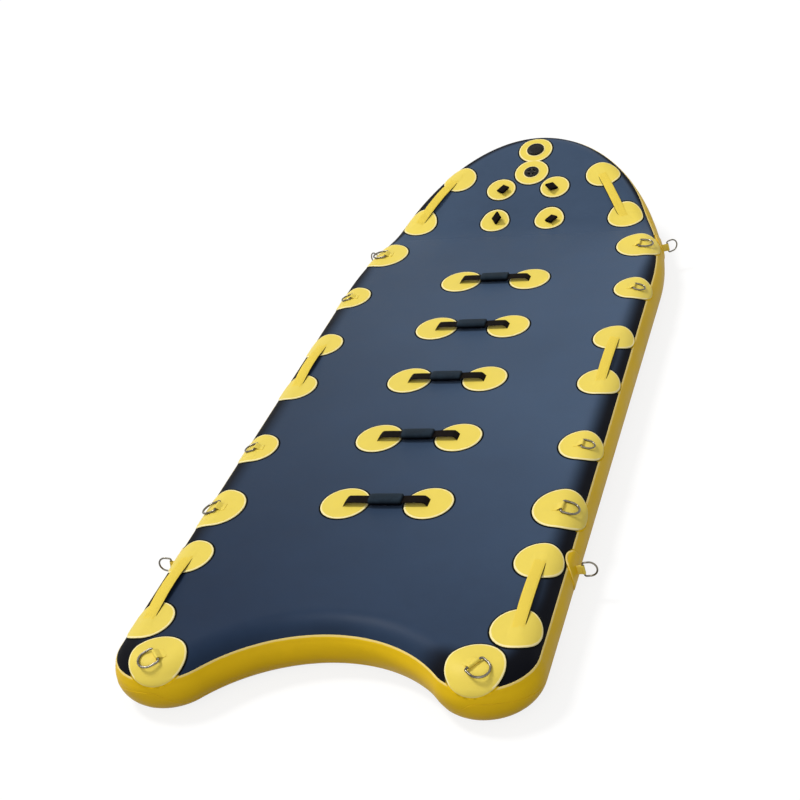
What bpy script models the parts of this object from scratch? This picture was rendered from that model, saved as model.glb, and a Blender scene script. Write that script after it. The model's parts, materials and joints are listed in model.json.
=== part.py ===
"""Inflatable rescue sled at real size, in metres: +Y points to the nose, +Z up, Z = 0 is the ground.

The board is a drop-stitch panel: a navy deck and bottom skin joined by a yellow sidewall round a
semicircular rail. Its plan has a half-elliptic nose, straight sides, two round tail horns and a
scalloped notch between them, and the nose is turned up across one bend line.

Places on the board are given in plan: x across, and s from the tips of the horns along the flat
board. place() carries a plan point to the real surface: past the flat deck it runs down round the
rail, and past the bend line it turns up with the nose.
"""

import math

import bpy
import numpy as np
from mathutils import Matrix, Vector
from mathutils.geometry import delaunay_2d_cdt

# Board
THICKNESS = 0.150
HALF_WIDTH = 0.555
HORN_RADIUS = 0.144
NOTCH_DEPTH = 0.203
SIDE_END = 2.200
NOSE_LENGTH = 0.976
BEND_START = 2.569
BEND_LENGTH = 0.144
NOSE_LIFT = math.radians(22.3)
SKIN = 0.0018
DECK_WRAP = math.radians(50)
BOTTOM_WRAP = math.radians(12)
GAP = 0.0003

# Drop-stitch core
CORE_SHEET = 0.0010
CORE_ROW = 0.0012
CORE_ROW_PITCH = 0.118
CORE_TAIL = 0.300
CORE_FRONT_SETBACK = 0.300
CORE_EDGE = 0.004

# Fabric patches and the webbing on them
PATCH = 0.0025
FABRIC = 0.0015
WEBBING = 0.0020
STRAP_SINK = 0.0002

# D-rings: wire, span between the leg centrelines, reach from the bar to the bow, sleeve width
BIG_RING = dict(wire=0.006, span=0.054, reach=0.047, corner=0.006, sleeve=0.034, patch=0.085)
SMALL_RING = dict(wire=0.005, span=0.041, reach=0.036, corner=0.005, sleeve=0.026, patch=0.072)
BAR_CLEARANCE = 0.0003
RING_REST_GAP = 0.0005
STEEPEST_REST = math.radians(80)
CORNER_CUT = 0.3
SLEEVE_SINK = 0.0015
TONGUE = 0.024
TONGUE_TIP = 0.0012
TAB = 0.016
TAB_FLARE = 1.6
SIDE_PATCH_RADIUS = 0.052
SIDE_RING_ANGLE = math.radians(84)

# Where the deck rings are: how far along, how far in from the outline, and which ring
DECK_RINGS = {
    "bow": (2.440, 0.080, BIG_RING),
    "shoulder": (2.094, 0.066, SMALL_RING),
    "waist": (1.074, 0.066, SMALL_RING),
    "quarter": (0.745, 0.064, BIG_RING),
}
CORNER_RING = (-0.006, -0.082)
CORNER_DIRECTION = (0.79, -0.61)
SIDE_RINGS = {"side_front": (2.535, math.radians(24)), "side_rear": (0.556, 0.0)}

# Grab handles down the middle
CENTRE_FIRST = 0.766
CENTRE_PITCH = 0.356
CENTRE_COUNT = 5
CENTRE_HALF = 0.120
CENTRE_PATCH_RADIUS = 0.072
STRAP_WIDTH = 0.037
CENTRE_RISE = 0.0185
GRIP_LENGTH = 0.094
GRIP_WIDTH = 0.046
GRIP_THICKNESS = 0.020
GRIP_CLEARANCE = 0.0003
GRIP_LEVEL = 0.004

# Side handles: middle, half the spacing of the two lobes, and the lobes' radius
SIDE_HANDLES = {"middle": 1.591, "tail": 0.353}
SIDE_HANDLE_HALF = 0.1445
LOBE_RADIUS = 0.071
LOBE_INSET = 0.077
NOSE_LOBES_FROM_TIP = (0.260, 0.490)
NOSE_LOBE_RADIUS = 0.068
NOSE_LOBE_INSET = 0.103
SIDE_STRAP_INSET = 0.081
SIDE_RISE = 0.017
SIDE_RAMP = 0.42

# Webbing loops on the nose: distance from the tip, turn of the base line and lean off the deck
LOOP_X = 0.101
LOOP_PAD_RADIUS = 0.057
LOOP_WIDTH = 0.034
LOOP_REACH = 0.026
LOOP_OUTER = 0.0048
LOOP_SEAT_GAP = 0.0007
PAD_SPACING = 0.002
NOSE_LOOPS = {
    "front_right": (1, 0.315, math.radians(220), math.radians(20)),
    "front_left": (-1, 0.315, math.radians(322), math.radians(14)),
    "rear_right": (1, 0.487, math.radians(316), math.radians(14)),
    "rear_left": (-1, 0.487, math.radians(36), math.radians(42)),
}

# Valves on the nose
VALVE_X = 0.003
INFLATION_FROM_TIP = 0.113
RELIEF_FROM_TIP = 0.232
VALVE_PAD_RADIUS = 0.063
VALVE_HOLE_CLEARANCE = 0.0004
INFLATION = dict(flange=0.032, barrel=0.019, bore=0.0155, seat=0.008, depth=0.028)
RELIEF = dict(flange=0.0275, barrel=0.0185, bore=0.0155, seat=0.009, depth=0.022)
FLANGE_HEIGHT = 0.0035
SEAT_THICKNESS = 0.003
CAP_RADIUS = 0.0275
CAP_HEIGHT = 0.0045
CAP_PLUG = 0.0052
CAP_BEVEL = 0.003
CAP_EDGE_SHARE = 0.6
FLANGE_BEVEL = (0.002, 0.001)
CAP_TO_PLUNGER = 0.0015
SEAL_LAP = 0.003
PLUNGER_STEM = 0.003
PLUNGER_HEAD = 0.0125
PLUNGER_HEAD_DEPTH = 0.0020
DISC_THICKNESS = 0.002
SPRING_WIRE = 0.0007
SPRING_TURNS = 4
INFLATION_SPRING_RADIUS = 0.0105
RELIEF_SPRING_RADIUS = 0.0078
RELIEF_HUB = 0.0100
SPOKE_WIDTH = 0.005
SPOKES = 4
RELIEF_COVER = 0.0030
RELIEF_GUIDE = 0.006
COVER_OVER_BARREL = 0.001
COVER_LEDGE = 0.0004

# How finely round things are divided
NOSE_STEPS = 7
BEND_STEPS = 8
HORN_STEPS = 12
NOTCH_STEPS = 7
SIDE_STEPS = 3
DECK_RAIL_STEPS = 4
SIDE_RAIL_STEPS = 8
FINE_STEPS = 260
PATCH_SIDES = 20
WIRE_SIDES = 6
BOW_STEPS = 8
TUNNEL_SIDES = 10
FOLD_STEP = 30
LOOP_STEP = 36
CENTRE_STRAP_STEPS = 4
SIDE_STRAP_STEPS = 10
TURNED_SIDES = 20
PLUNGER_SIDES = 12
COIL_STEPS = 10
COIL_SIDES = 4
REST_STEPS = 30
TINY = 0.0005
MERGE = 1e-5

RAIL = THICKNESS / 2
TIP = SIDE_END + NOSE_LENGTH
PATCH_TOP = GAP + PATCH


# Plan outline

def nose_points(angles):
    """Points and outward normals of the nose, by angle from its tip."""
    points = np.stack([HALF_WIDTH * np.sin(angles), SIDE_END + NOSE_LENGTH * np.cos(angles)], 1)
    normals = np.stack([np.sin(angles) / HALF_WIDTH, np.cos(angles) / NOSE_LENGTH], 1)
    return points, normals / np.linalg.norm(normals, axis=1, keepdims=True)


def tail_points(side_steps, horn_steps, notch_steps):
    """Points and outward normals of the right side, horn and half notch, from the side's front end."""
    horn_x = HALF_WIDTH - HORN_RADIUS
    reach = (horn_x ** 2 + NOTCH_DEPTH ** 2) / (2 * NOTCH_DEPTH)
    notch_centre = np.array([0.0, NOTCH_DEPTH - (reach - HORN_RADIUS)])
    horn_centre = np.array([horn_x, HORN_RADIUS])
    stops = np.linspace(SIDE_END, HORN_RADIUS, side_steps + 1)[1:-1]
    side = np.stack([np.full(len(stops), HALF_WIDTH), stops], 1)
    side_normals = np.tile([1.0, 0.0], (len(stops), 1))
    to_notch = notch_centre - horn_centre
    meeting = math.atan2(to_notch[1], to_notch[0])
    turn = np.linspace(0, meeting, horn_steps + 1)
    horn_normals = np.stack([np.cos(turn), np.sin(turn)], 1)
    horn = horn_centre + HORN_RADIUS * horn_normals
    sweep = np.linspace(meeting + math.pi, math.pi / 2, notch_steps + 1)[1:]
    notch_normals = -np.stack([np.cos(sweep), np.sin(sweep)], 1)
    notch = notch_centre - (reach - HORN_RADIUS) * notch_normals
    return np.concatenate([side, horn, notch]), np.concatenate([side_normals, horn_normals, notch_normals])


def both_halves(points, normals):
    """The closed outline from its right half: nose tip, right side, notch, left side."""
    flip = np.array([-1.0, 1.0])
    points = np.concatenate([points, points[-2:0:-1] * flip])
    normals = np.concatenate([normals, normals[-2:0:-1] * flip])
    return points, normals


def half_outline(nose_angles, side_steps, horn_steps, notch_steps):
    nose, nose_normals = nose_points(nose_angles)
    tail, tail_normals = tail_points(side_steps, horn_steps, notch_steps)
    return np.concatenate([nose, tail]), np.concatenate([nose_normals, tail_normals])


def station_angles():
    """Nose angles of the skins' stations, with one on each fold line of the bend."""
    fine = np.linspace(0, math.pi / 2, 2000)
    points, normals = nose_points(fine)
    foot = points[:, 1] - RAIL * normals[:, 1]
    folds = np.linspace(BEND_START + BEND_LENGTH, BEND_START, BEND_STEPS + 1)
    fold_angles = np.interp(folds, foot[::-1], fine[::-1])
    before = np.linspace(0, fold_angles[0], NOSE_STEPS + 1)[:-1]
    after = np.linspace(fold_angles[-1], math.pi / 2, NOSE_STEPS // 2 + 1)[1:]
    return np.concatenate([before, fold_angles, after])


HALF_POINTS, HALF_NORMALS = half_outline(station_angles(), SIDE_STEPS, HORN_STEPS, NOTCH_STEPS)
HALF_FEET = HALF_POINTS - RAIL * HALF_NORMALS
STATIONS, STATION_NORMALS = both_halves(HALF_POINTS, HALF_NORMALS)
STATION_FEET = STATIONS - RAIL * STATION_NORMALS
FINE, FINE_NORMALS = both_halves(
    *half_outline(np.linspace(0, math.pi / 2, FINE_STEPS), FINE_STEPS, FINE_STEPS, FINE_STEPS)
)
FEET = FINE - RAIL * FINE_NORMALS
DECK_ANGLES = np.linspace(0, DECK_WRAP, DECK_RAIL_STEPS + 1)
SIDE_ANGLES = np.linspace(DECK_WRAP, math.pi - BOTTOM_WRAP, SIDE_RAIL_STEPS + 1)


# From plan to world

def bend(points):
    """Turns up what lies past the bend line, about the board's middle plane."""
    past = points[:, 1] - BEND_START
    turned = np.clip(past / BEND_LENGTH, 0, 1) * NOSE_LIFT
    beyond = np.maximum(past - BEND_LENGTH, 0)
    middle = BEND_LENGTH / NOSE_LIFT
    radius = middle - points[:, 2]
    s = BEND_START + radius * np.sin(turned) + beyond * np.cos(turned)
    z = middle - radius * np.cos(turned) + beyond * np.sin(turned)
    bent = points.copy()
    bent[:, 1] = np.where(past > 0, s, points[:, 1])
    bent[:, 2] = np.where(past > 0, z, points[:, 2])
    return bent


def middle_of_length():
    """Half the bent board's length: its tail is at s = 0."""
    turn = np.linspace(0, math.pi, 181)
    tip = np.stack([np.zeros(181), TIP - RAIL + RAIL * np.sin(turn), RAIL * np.cos(turn)], 1)
    return bend(tip)[:, 1].max() / 2


Y_MID = middle_of_length()


def to_world(points):
    """Flat-board points (x, s, height over the middle plane) on the bent board, in world metres."""
    return bend(np.asarray(points, float)) + np.array([0, -Y_MID, RAIL])


def place(plan, height, under=False):
    """World points of plan points lifted off the board's surface, round its rail where they pass it."""
    plan = np.atleast_2d(np.asarray(plan, float))
    height = np.broadcast_to(np.asarray(height, float), len(plan))
    nearest = ((plan[:, None] - FEET[None]) ** 2).sum(2).argmin(1)
    foot = FEET[nearest]
    normal = FINE_NORMALS[nearest]
    out = ((plan - foot) * normal).sum(1)
    along = plan - foot - out[:, None] * normal
    angle = np.clip(out / RAIL, 0, math.pi)
    radius = RAIL + height
    on_rail = foot + along + normal * (radius * np.sin(angle))[:, None]
    flat = np.where((out <= 0)[:, None], plan, on_rail)
    lift = np.where(out <= 0, radius, radius * np.cos(angle))
    return to_world(np.column_stack([flat, -lift if under else lift]))


def height_over_deck(points):
    """How far world points stand off the unbent board's surface."""
    plan = points[:, :2] + np.array([0, Y_MID])
    nearest = ((plan[:, None] - FEET[None]) ** 2).sum(2).argmin(1)
    out = ((plan - FEET[nearest]) * FINE_NORMALS[nearest]).sum(1)
    z = points[:, 2] - RAIL
    return np.where(out > 0, np.hypot(out, z), z) - RAIL


def half_width_at(s):
    """Half the board's width in plan at s."""
    if s <= SIDE_END:
        return HALF_WIDTH
    return HALF_WIDTH * math.sqrt(1 - ((s - SIDE_END) / NOSE_LENGTH) ** 2)


def surface_frame(plan, height, direction):
    """A frame over the surface: X along a plan direction, Y to its left, Z off the surface."""
    plan = np.array(plan, float)
    step = TINY * np.array(direction, float) / np.linalg.norm(direction)
    origin, ahead, behind, above = place(
        [plan, plan + step, plan - step, plan], [height, height, height, height + TINY]
    )
    x_axis = Vector(ahead - behind).normalized()
    z_axis = Vector(above - origin).normalized()
    y_axis = z_axis.cross(x_axis).normalized()
    frame = Matrix([x_axis, y_axis, z_axis]).transposed().to_4x4()
    frame.translation = Vector(origin)
    return frame


# Solids

def circle(centre, radius, count, start=0.0):
    turn = start + np.arange(count) * 2 * math.pi / count
    return np.array(centre) + radius * np.stack([np.cos(turn), np.sin(turn)], 1)


def ring_edges(first, count):
    return [(first + i, first + (i + 1) % count) for i in range(count)]


def inside(polygon, points):
    """Which points lie inside a closed polygon."""
    start = polygon[None]
    end = np.roll(polygon, -1, axis=0)[None]
    x = points[:, None, 0]
    y = points[:, None, 1]
    crosses = (start[..., 1] > y) != (end[..., 1] > y)
    rise = np.where(end[..., 1] == start[..., 1], 1.0, end[..., 1] - start[..., 1])
    at = start[..., 0] + (y - start[..., 1]) * (end[..., 0] - start[..., 0]) / rise
    return (crosses & (x < at)).sum(1) % 2 == 1


def triangulate(points, edges):
    """Plan points and anticlockwise triangles that keep every edge."""
    found = delaunay_2d_cdt([Vector(p) for p in points], edges, [], 0, MERGE)
    plan = np.array([tuple(point) for point in found[0]])
    triangles = np.array([tuple(face) for face in found[2]])
    first, second, third = (plan[triangles[:, corner]] for corner in range(3))
    area = (second - first)[:, 0] * (third - first)[:, 1] - (second - first)[:, 1] * (third - first)[:, 0]
    triangles[area < 0] = triangles[area < 0][:, ::-1]
    return plan, triangles


def centres(plan, triangles):
    return plan[triangles].mean(axis=1)


def thicken(plan, triangles, tops, bottom):
    """Corners (x, y, height) and faces of a closed body: each triangle has its own top height."""
    corners = {}
    faces = []
    edge_tops = {}

    def corner(index, height):
        return corners.setdefault((int(index), float(height)), len(corners))

    for (a, b, c), top in zip(triangles, tops):
        faces.append((corner(a, top), corner(b, top), corner(c, top)))
        faces.append((corner(c, bottom), corner(b, bottom), corner(a, bottom)))
        for edge in ((a, b), (b, c), (c, a)):
            edge_tops[edge] = top
    for (u, v), top in edge_tops.items():
        low = edge_tops.get((v, u), bottom)
        if low < top:
            faces.append((corner(u, low), corner(v, low), corner(v, top), corner(u, top)))
    indices = [index for index, _ in corners]
    heights = np.array([height for _, height in corners])
    return plan[indices], heights, faces


def slab(outer, inner):
    """A closed shell between two grids of points, the outer one with its normals out."""
    rows, columns = outer.shape[:2]
    points = np.concatenate([outer.reshape(-1, 3), inner.reshape(-1, 3)])
    far = rows * columns
    faces = []
    for i in range(rows - 1):
        for j in range(columns - 1):
            a = i * columns + j
            quad = (a, a + 1, a + columns + 1, a + columns)
            faces.append(quad)
            faces.append(tuple(far + k for k in reversed(quad)))
    rim = list(range(columns))
    rim += [i * columns + columns - 1 for i in range(1, rows)]
    rim += [(rows - 1) * columns + j for j in range(columns - 2, -1, -1)]
    rim += [i * columns for i in range(rows - 2, 0, -1)]
    for k, start in enumerate(rim):
        end = rim[(k + 1) % len(rim)]
        faces.append((end, start, far + start, far + end))
    return points, faces


def tube(rings, closed=False):
    """A body through rings of points, one after the other, with flat ends or joined up."""
    count, sides = rings.shape[:2]
    points = rings.reshape(-1, 3)
    faces = []
    for i in range(count if closed else count - 1):
        for j in range(sides):
            here = i * sides
            there = (i + 1) % count * sides
            k = (j + 1) % sides
            faces.append((here + j, here + k, there + k, there + j))
    if not closed:
        faces.append(tuple(range(sides))[::-1])
        faces.append(tuple((count - 1) * sides + j for j in range(sides)))
    return points, faces


def prism(outline, holes, half_length):
    """An outline in local X and Z with holes through it, drawn out along local Y."""
    loops = [np.asarray(outline, float)] + [np.asarray(hole, float) for hole in holes]
    points = np.concatenate(loops)
    edges = []
    first = 0
    for loop in loops:
        edges += ring_edges(first, len(loop))
        first += len(loop)
    plan, triangles = triangulate(points, edges)
    middle = centres(plan, triangles)
    keep = inside(loops[0], middle)
    for hole in loops[1:]:
        keep &= ~inside(hole, middle)
    plan, heights, faces = thicken(plan, triangles[keep], [half_length] * int(keep.sum()), -half_length)
    return np.stack([plan[:, 0], -heights, plan[:, 1]], 1), faces


def turned(profile, sides, frame):
    """A profile of (radius, height) turned about the frame's Z; ends on the axis become points."""
    points = []
    rings = []
    for radius, height in profile:
        if radius == 0:
            rings.append([len(points)] * sides)
            points.append((0, 0, height))
            continue
        rings.append([len(points) + j for j in range(sides)])
        points += [(x, y, height) for x, y in circle((0, 0), radius, sides)]
    faces = []
    on_axis = profile[0][0] == 0
    for i in range(len(rings) - (1 if on_axis else 0)):
        here = rings[i]
        there = rings[(i + 1) % len(rings)]
        for j in range(sides):
            k = (j + 1) % sides
            quad = [here[j], here[k], there[k], there[j]]
            face = tuple(dict.fromkeys(quad))
            if len(face) > 2:
                faces.append(face)
    return in_frame(np.array(points, float), frame), faces


def in_frame(points, frame):
    matrix = np.array(frame)
    return points @ matrix[:3, :3].T + matrix[:3, 3]


# Blender objects

def clear_scene():
    for obj in list(bpy.data.objects):
        bpy.data.objects.remove(obj, do_unlink=True)


def make_material(name, colour, roughness, metallic=0.0):
    material = bpy.data.materials.new(name)
    material.use_nodes = True
    shader = material.node_tree.nodes["Principled BSDF"]
    shader.inputs["Base Color"].default_value = (*colour, 1.0)
    shader.inputs["Roughness"].default_value = roughness
    shader.inputs["Metallic"].default_value = metallic
    material.diffuse_color = (*colour, 1.0)
    return material


def make_mesh(name, solid):
    points, faces = solid
    mesh = bpy.data.meshes.new(name)
    mesh.from_pydata([tuple(map(float, p)) for p in points], [], [tuple(map(int, f)) for f in faces])
    mesh.update()
    return mesh


def fuse(name, solids):
    """One closed mesh from solids that overlap."""
    helpers = []
    for number, solid in enumerate(solids):
        helper = bpy.data.objects.new(f"{name}_{number}", make_mesh(f"{name}_{number}", solid))
        bpy.context.scene.collection.objects.link(helper)
        helpers.append(helper)
    for other in helpers[1:]:
        union = helpers[0].modifiers.new("union", "BOOLEAN")
        union.operation = "UNION"
        union.solver = "EXACT"
        union.object = other
    graph = bpy.context.evaluated_depsgraph_get()
    mesh = bpy.data.meshes.new_from_object(helpers[0].evaluated_get(graph))
    mesh.name = name
    for helper in helpers:
        part = helper.data
        bpy.data.objects.remove(helper, do_unlink=True)
        bpy.data.meshes.remove(part)
    return mesh


def mirrored(mesh, name):
    """The same mesh on the other side of the board."""
    copy = mesh.copy()
    copy.name = name
    copy.transform(Matrix.Scale(-1, 4, (1, 0, 0)))
    copy.flip_normals()
    return copy


def add_object(name, mesh, material, frame=None, sharp=math.radians(35)):
    """An object of a mesh given in the frame's own axes."""
    mesh.shade_smooth()
    mesh.set_sharp_from_angle(angle=sharp)
    mesh.materials.clear()
    mesh.materials.append(material)
    obj = bpy.data.objects.new(name, mesh)
    bpy.context.scene.collection.objects.link(obj)
    if frame is not None:
        obj.matrix_world = frame
    return obj


def add_at(name, mesh, material, origin):
    """An object of a mesh given in world metres, with its origin at a point."""
    mesh.transform(Matrix.Translation(-Vector(origin)))
    return add_object(name, mesh, material, Matrix.Translation(Vector(origin)))


def add_pair(name, mesh, material, origin):
    """The right-hand object and its mirror image."""
    other = Vector((-origin[0], origin[1], origin[2]))
    left = mirrored(mesh, f"{name}_left")
    add_at(f"{name}_right", mesh, material, origin)
    add_at(f"{name}_left", left, material, other)


# Skins and core

def skin_edges(angles):
    """Plan points of the stations at each rail angle, with the edges between them."""
    count = len(STATIONS)
    points = [STATION_FEET + STATION_NORMALS * RAIL * angle for angle in angles]
    edges = []
    for row in range(len(angles)):
        edges += ring_edges(row * count, count)
    for row in range(len(angles) - 1):
        edges += [(row * count + i, (row + 1) * count + i) for i in range(count)]
    half = len(HALF_POINTS)
    for row in range(len(angles) - 1):
        here = row * count
        there = here + count
        edges += [(here + i, there + i + 1) for i in range(half - 1)]
        edges += [(here + (i + 1) % count, there + i) for i in range(half - 1, count)]
    for i in range(half):
        folded = BEND_START - MERGE < STATION_FEET[i, 1] < BEND_START + BEND_LENGTH + MERGE
        if folded and 0 < i < half - 1:
            edges.append((i, count - i))
    return np.concatenate(points), edges


def loop_spot(side, back):
    """Where a loop stands: LOOP_X from the middle line, or nearer where a side lobe needs the room."""
    s = TIP - back
    apart = NOSE_LOBE_RADIUS + LOOP_PAD_RADIUS + PAD_SPACING
    x = LOOP_X
    for lobe_back in NOSE_LOBES_FROM_TIP:
        lobe_s = TIP - lobe_back
        if abs(lobe_s - s) < apart:
            lobe_x = half_width_at(lobe_s) - NOSE_LOBE_INSET
            x = min(x, lobe_x - math.sqrt(apart ** 2 - (lobe_s - s) ** 2))
    return side * x, s


def deck_pads():
    """Centre and radius of each disc that stands on the deck skin itself."""
    pads = [(loop_spot(side, back), LOOP_PAD_RADIUS) for side, back, _, _ in NOSE_LOOPS.values()]
    pads.append(((VALVE_X, TIP - INFLATION_FROM_TIP), VALVE_PAD_RADIUS))
    pads.append(((VALVE_X, TIP - RELIEF_FROM_TIP), VALVE_PAD_RADIUS))
    return pads


def valve_holes():
    """Centre and radius of each hole that a valve's barrel passes through."""
    widen = 1 / math.cos(math.pi / TURNED_SIDES)
    clear = VALVE_HOLE_CLEARANCE
    return [
        ((VALVE_X, TIP - INFLATION_FROM_TIP), (INFLATION["barrel"] + clear) * widen),
        ((VALVE_X, TIP - RELIEF_FROM_TIP), (RELIEF["barrel"] + clear) * widen),
    ]


def build_deck(material):
    points, edges = skin_edges(DECK_ANGLES)
    border = points[-len(STATIONS):]
    rings = [circle(centre, radius, PATCH_SIDES) for centre, radius in deck_pads()]
    holes = [circle(centre, radius, TURNED_SIDES) for centre, radius in valve_holes()]
    for ring in rings + holes:
        edges += ring_edges(len(points), len(ring))
        points = np.concatenate([points, ring])
    plan, triangles = triangulate(points, edges)
    middle = centres(plan, triangles)
    keep = inside(border, middle)
    for hole in holes:
        keep &= ~inside(hole, middle)
    raised = np.zeros(len(triangles), bool)
    for ring in rings:
        raised |= inside(ring, middle)
    tops = np.where(raised, PATCH, 0.0)[keep]
    plan, heights, faces = thicken(plan, triangles[keep], tops, -SKIN)
    add_object("deck_skin", make_mesh("deck_skin", (place(plan, heights), faces)), material)


def build_bottom(material):
    points, edges = skin_edges([0.0, BOTTOM_WRAP])
    border = points[-len(STATIONS):]
    plan, triangles = triangulate(points, edges)
    triangles = triangles[inside(border, centres(plan, triangles))]
    plan, heights, faces = thicken(plan, triangles, [0.0] * len(triangles), -SKIN)
    faces = [face[::-1] for face in faces]
    add_object("bottom_skin", make_mesh("bottom_skin", (place(plan, heights, under=True), faces)), material)


def build_sidewalls(material):
    """Two halves that meet at the nose tip and at the middle of the notch."""
    seam = GAP / RAIL
    angles = SIDE_ANGLES.copy()
    angles[0] += seam
    angles[-1] -= seam
    shells = []
    for radius in (RAIL, RAIL - SKIN):
        out = radius * np.sin(angles)
        lift = np.broadcast_to(radius * np.cos(angles), (len(HALF_FEET), len(angles)))
        plan = HALF_FEET[:, None] + HALF_NORMALS[:, None] * out[None, :, None]
        plan[..., 0] = np.maximum(plan[..., 0], GAP / 2)
        flat = np.concatenate([plan, lift[..., None]], 2)
        shells.append(to_world(flat.reshape(-1, 3)).reshape(flat.shape))
    points, faces = slab(*shells)
    right = make_mesh("sidewall_right", (points, [face[::-1] for face in faces]))
    add_object("sidewall_left", mirrored(right, "sidewall_left"), material)
    add_object("sidewall_right", right, material)


def core_stations():
    """(s, whether a thread row fills the span that starts there) along the core."""
    front = TIP - CORE_FRONT_SETBACK
    rows = round((front - CORE_TAIL - CORE_ROW) / CORE_ROW_PITCH)
    starts = np.linspace(CORE_TAIL, front - CORE_ROW, rows + 1)
    stations = []
    for start in starts:
        stations.append((start, True))
        stations.append((start + CORE_ROW, False))
    folds = np.linspace(BEND_START, BEND_START + BEND_LENGTH, BEND_STEPS + 1)
    for fold in folds:
        if all(abs(fold - s) > CORE_ROW for s, _ in stations):
            stations.append((fold, False))
    return sorted(stations)


def build_core(material):
    """Two woven sheets held a fixed distance apart by rows of threads, open between the rows."""
    stations = core_stations()
    top = RAIL - SKIN - GAP
    levels = (-top, -top + CORE_SHEET, top - CORE_SHEET, top)
    right_feet = HALF_FEET[HALF_FEET[:, 1] > HORN_RADIUS]
    right_feet = right_feet[right_feet[:, 0] > 0]
    order = np.argsort(right_feet[:, 1])
    points = []
    for s, _ in stations:
        half = np.interp(s, right_feet[order, 1], right_feet[order, 0]) - CORE_EDGE
        for side in (-half, half):
            points += [(side, s, level) for level in levels]
    faces = []

    def corner(station, side, level):
        return station * 8 + side * 4 + level

    def across(station, low, high, forward):
        quad = [(station, 0, low), (station, 1, low), (station, 1, high), (station, 0, high)]
        faces.append(tuple(corner(*q) for q in (quad[::-1] if forward else quad)))

    def lengthwise(here, level, up):
        quad = [(here, 0, level), (here, 1, level), (here + 1, 1, level), (here + 1, 0, level)]
        faces.append(tuple(corner(*q) for q in (quad if up else quad[::-1])))

    last = len(stations) - 1
    solid = [row for _, row in stations]
    for here in range(last):
        lengthwise(here, 3, True)
        lengthwise(here, 0, False)
        spans = [(0, 1), (1, 2), (2, 3)] if solid[here] else [(0, 1), (2, 3)]
        for low, high in spans:
            right = [(here, 1, low), (here + 1, 1, low), (here + 1, 1, high), (here, 1, high)]
            left = [(here, 0, low), (here, 0, high), (here + 1, 0, high), (here + 1, 0, low)]
            faces.append(tuple(corner(*q) for q in right))
            faces.append(tuple(corner(*q) for q in left))
        if not solid[here]:
            lengthwise(here, 1, True)
            lengthwise(here, 2, False)
        if here > 0 and solid[here] != solid[here - 1]:
            across(here, 1, 2, forward=solid[here - 1])
    for low, high in ((0, 1), (1, 2), (2, 3)):
        across(0, low, high, forward=False)
        across(last, low, high, forward=True)
    add_object("drop_stitch_core", make_mesh("drop_stitch_core", (to_world(points), faces)), material)


# Patches

def crease_segments(centre, radius):
    """The skins' own edges that cross a disc in plan."""
    angles = np.concatenate([DECK_ANGLES, SIDE_ANGLES[1:]])
    points, edges = skin_edges(angles)
    found = []
    for start, end in edges:
        a = points[start]
        along = points[end] - a
        t = np.clip(np.dot(np.array(centre) - a, along) / max(np.dot(along, along), 1e-12), 0, 1)
        if np.linalg.norm(a + t * along - centre) < radius:
            found.append((points[start], points[end]))
    return found


def disc(centre, radius, base, thickness, sides=PATCH_SIDES):
    """A fabric disc welded on the board, folded where the skin under it folds."""
    rim = circle(centre, radius, sides, start=math.pi / sides)
    points = list(rim)
    edges = ring_edges(0, sides)
    for start, end in crease_segments(centre, radius):
        edges.append((len(points), len(points) + 1))
        points += [start, end]
    plan, triangles = triangulate(points, edges)
    triangles = triangles[inside(rim, centres(plan, triangles))]
    plan, heights, faces = thicken(plan, triangles, [base + thickness] * len(triangles), base)
    return place(plan, heights), faces


def strap(start, end, width, height, steps):
    """A band of webbing between two plan points, at a height given by a function of 0 to 1."""
    start = np.array(start, float)
    along = np.array(end, float) - start
    side = np.array([-along[1], along[0]]) / np.linalg.norm(along) * width / 2
    rings = []
    for u in steps:
        middle = start + u * along
        low = height(u) - WEBBING / 2
        high = height(u) + WEBBING / 2
        corners = [middle - side, middle + side, middle + side, middle - side]
        rings.append(place(corners, [low, low, high, high]))
    return tube(np.array(rings))


def ease(t):
    t = min(max(t, 0.0), 1.0)
    return t * t * (3 - 2 * t)


# D-rings

def bar_radius(ring):
    return ring["wire"] / 2


def sleeve_radius(ring):
    return bar_radius(ring) + BAR_CLEARANCE + FABRIC


def ring_path(ring):
    """The wire's centreline in local X and Y: bar on the Y axis, bow towards +X."""
    half = ring["span"] / 2
    corner = ring["corner"]
    straight = ring["reach"] - half
    path = [(0, -(half - corner)), (0, half - corner)]
    path.append((corner * CORNER_CUT, half - corner * CORNER_CUT))
    path.append((corner, half))
    for step in range(BOW_STEPS + 1):
        turn = math.pi / 2 - math.pi * step / BOW_STEPS
        path.append((straight + half * math.cos(turn), half * math.sin(turn)))
    path.append((corner, -half))
    path.append((corner * CORNER_CUT, -(half - corner * CORNER_CUT)))
    return np.array(path)


def ring_solid(ring):
    path = ring_path(ring)
    before = path - np.roll(path, 1, axis=0)
    after = np.roll(path, -1, axis=0) - path
    before /= np.linalg.norm(before, axis=1, keepdims=True)
    after /= np.linalg.norm(after, axis=1, keepdims=True)
    tangent = before + after
    tangent /= np.linalg.norm(tangent, axis=1, keepdims=True)
    half_turn_cos = (before * tangent).sum(1)
    side = np.stack([tangent[:, 1], -tangent[:, 0]], 1) / half_turn_cos[:, None]
    rings = []
    for point, out in zip(path, side):
        section = circle((0, 0), bar_radius(ring), WIRE_SIDES, start=math.pi / WIRE_SIDES)
        rings.append([(*(point + out * across), up) for across, up in section])
    points, faces = tube(np.array(rings), closed=True)
    return points, [face[::-1] for face in faces]


def tunnel(ring):
    """The hole that the bar turns in."""
    radius = (bar_radius(ring) + BAR_CLEARANCE) / math.cos(math.pi / TUNNEL_SIDES)
    return circle((0, 0), radius, TUNNEL_SIDES)


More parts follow.
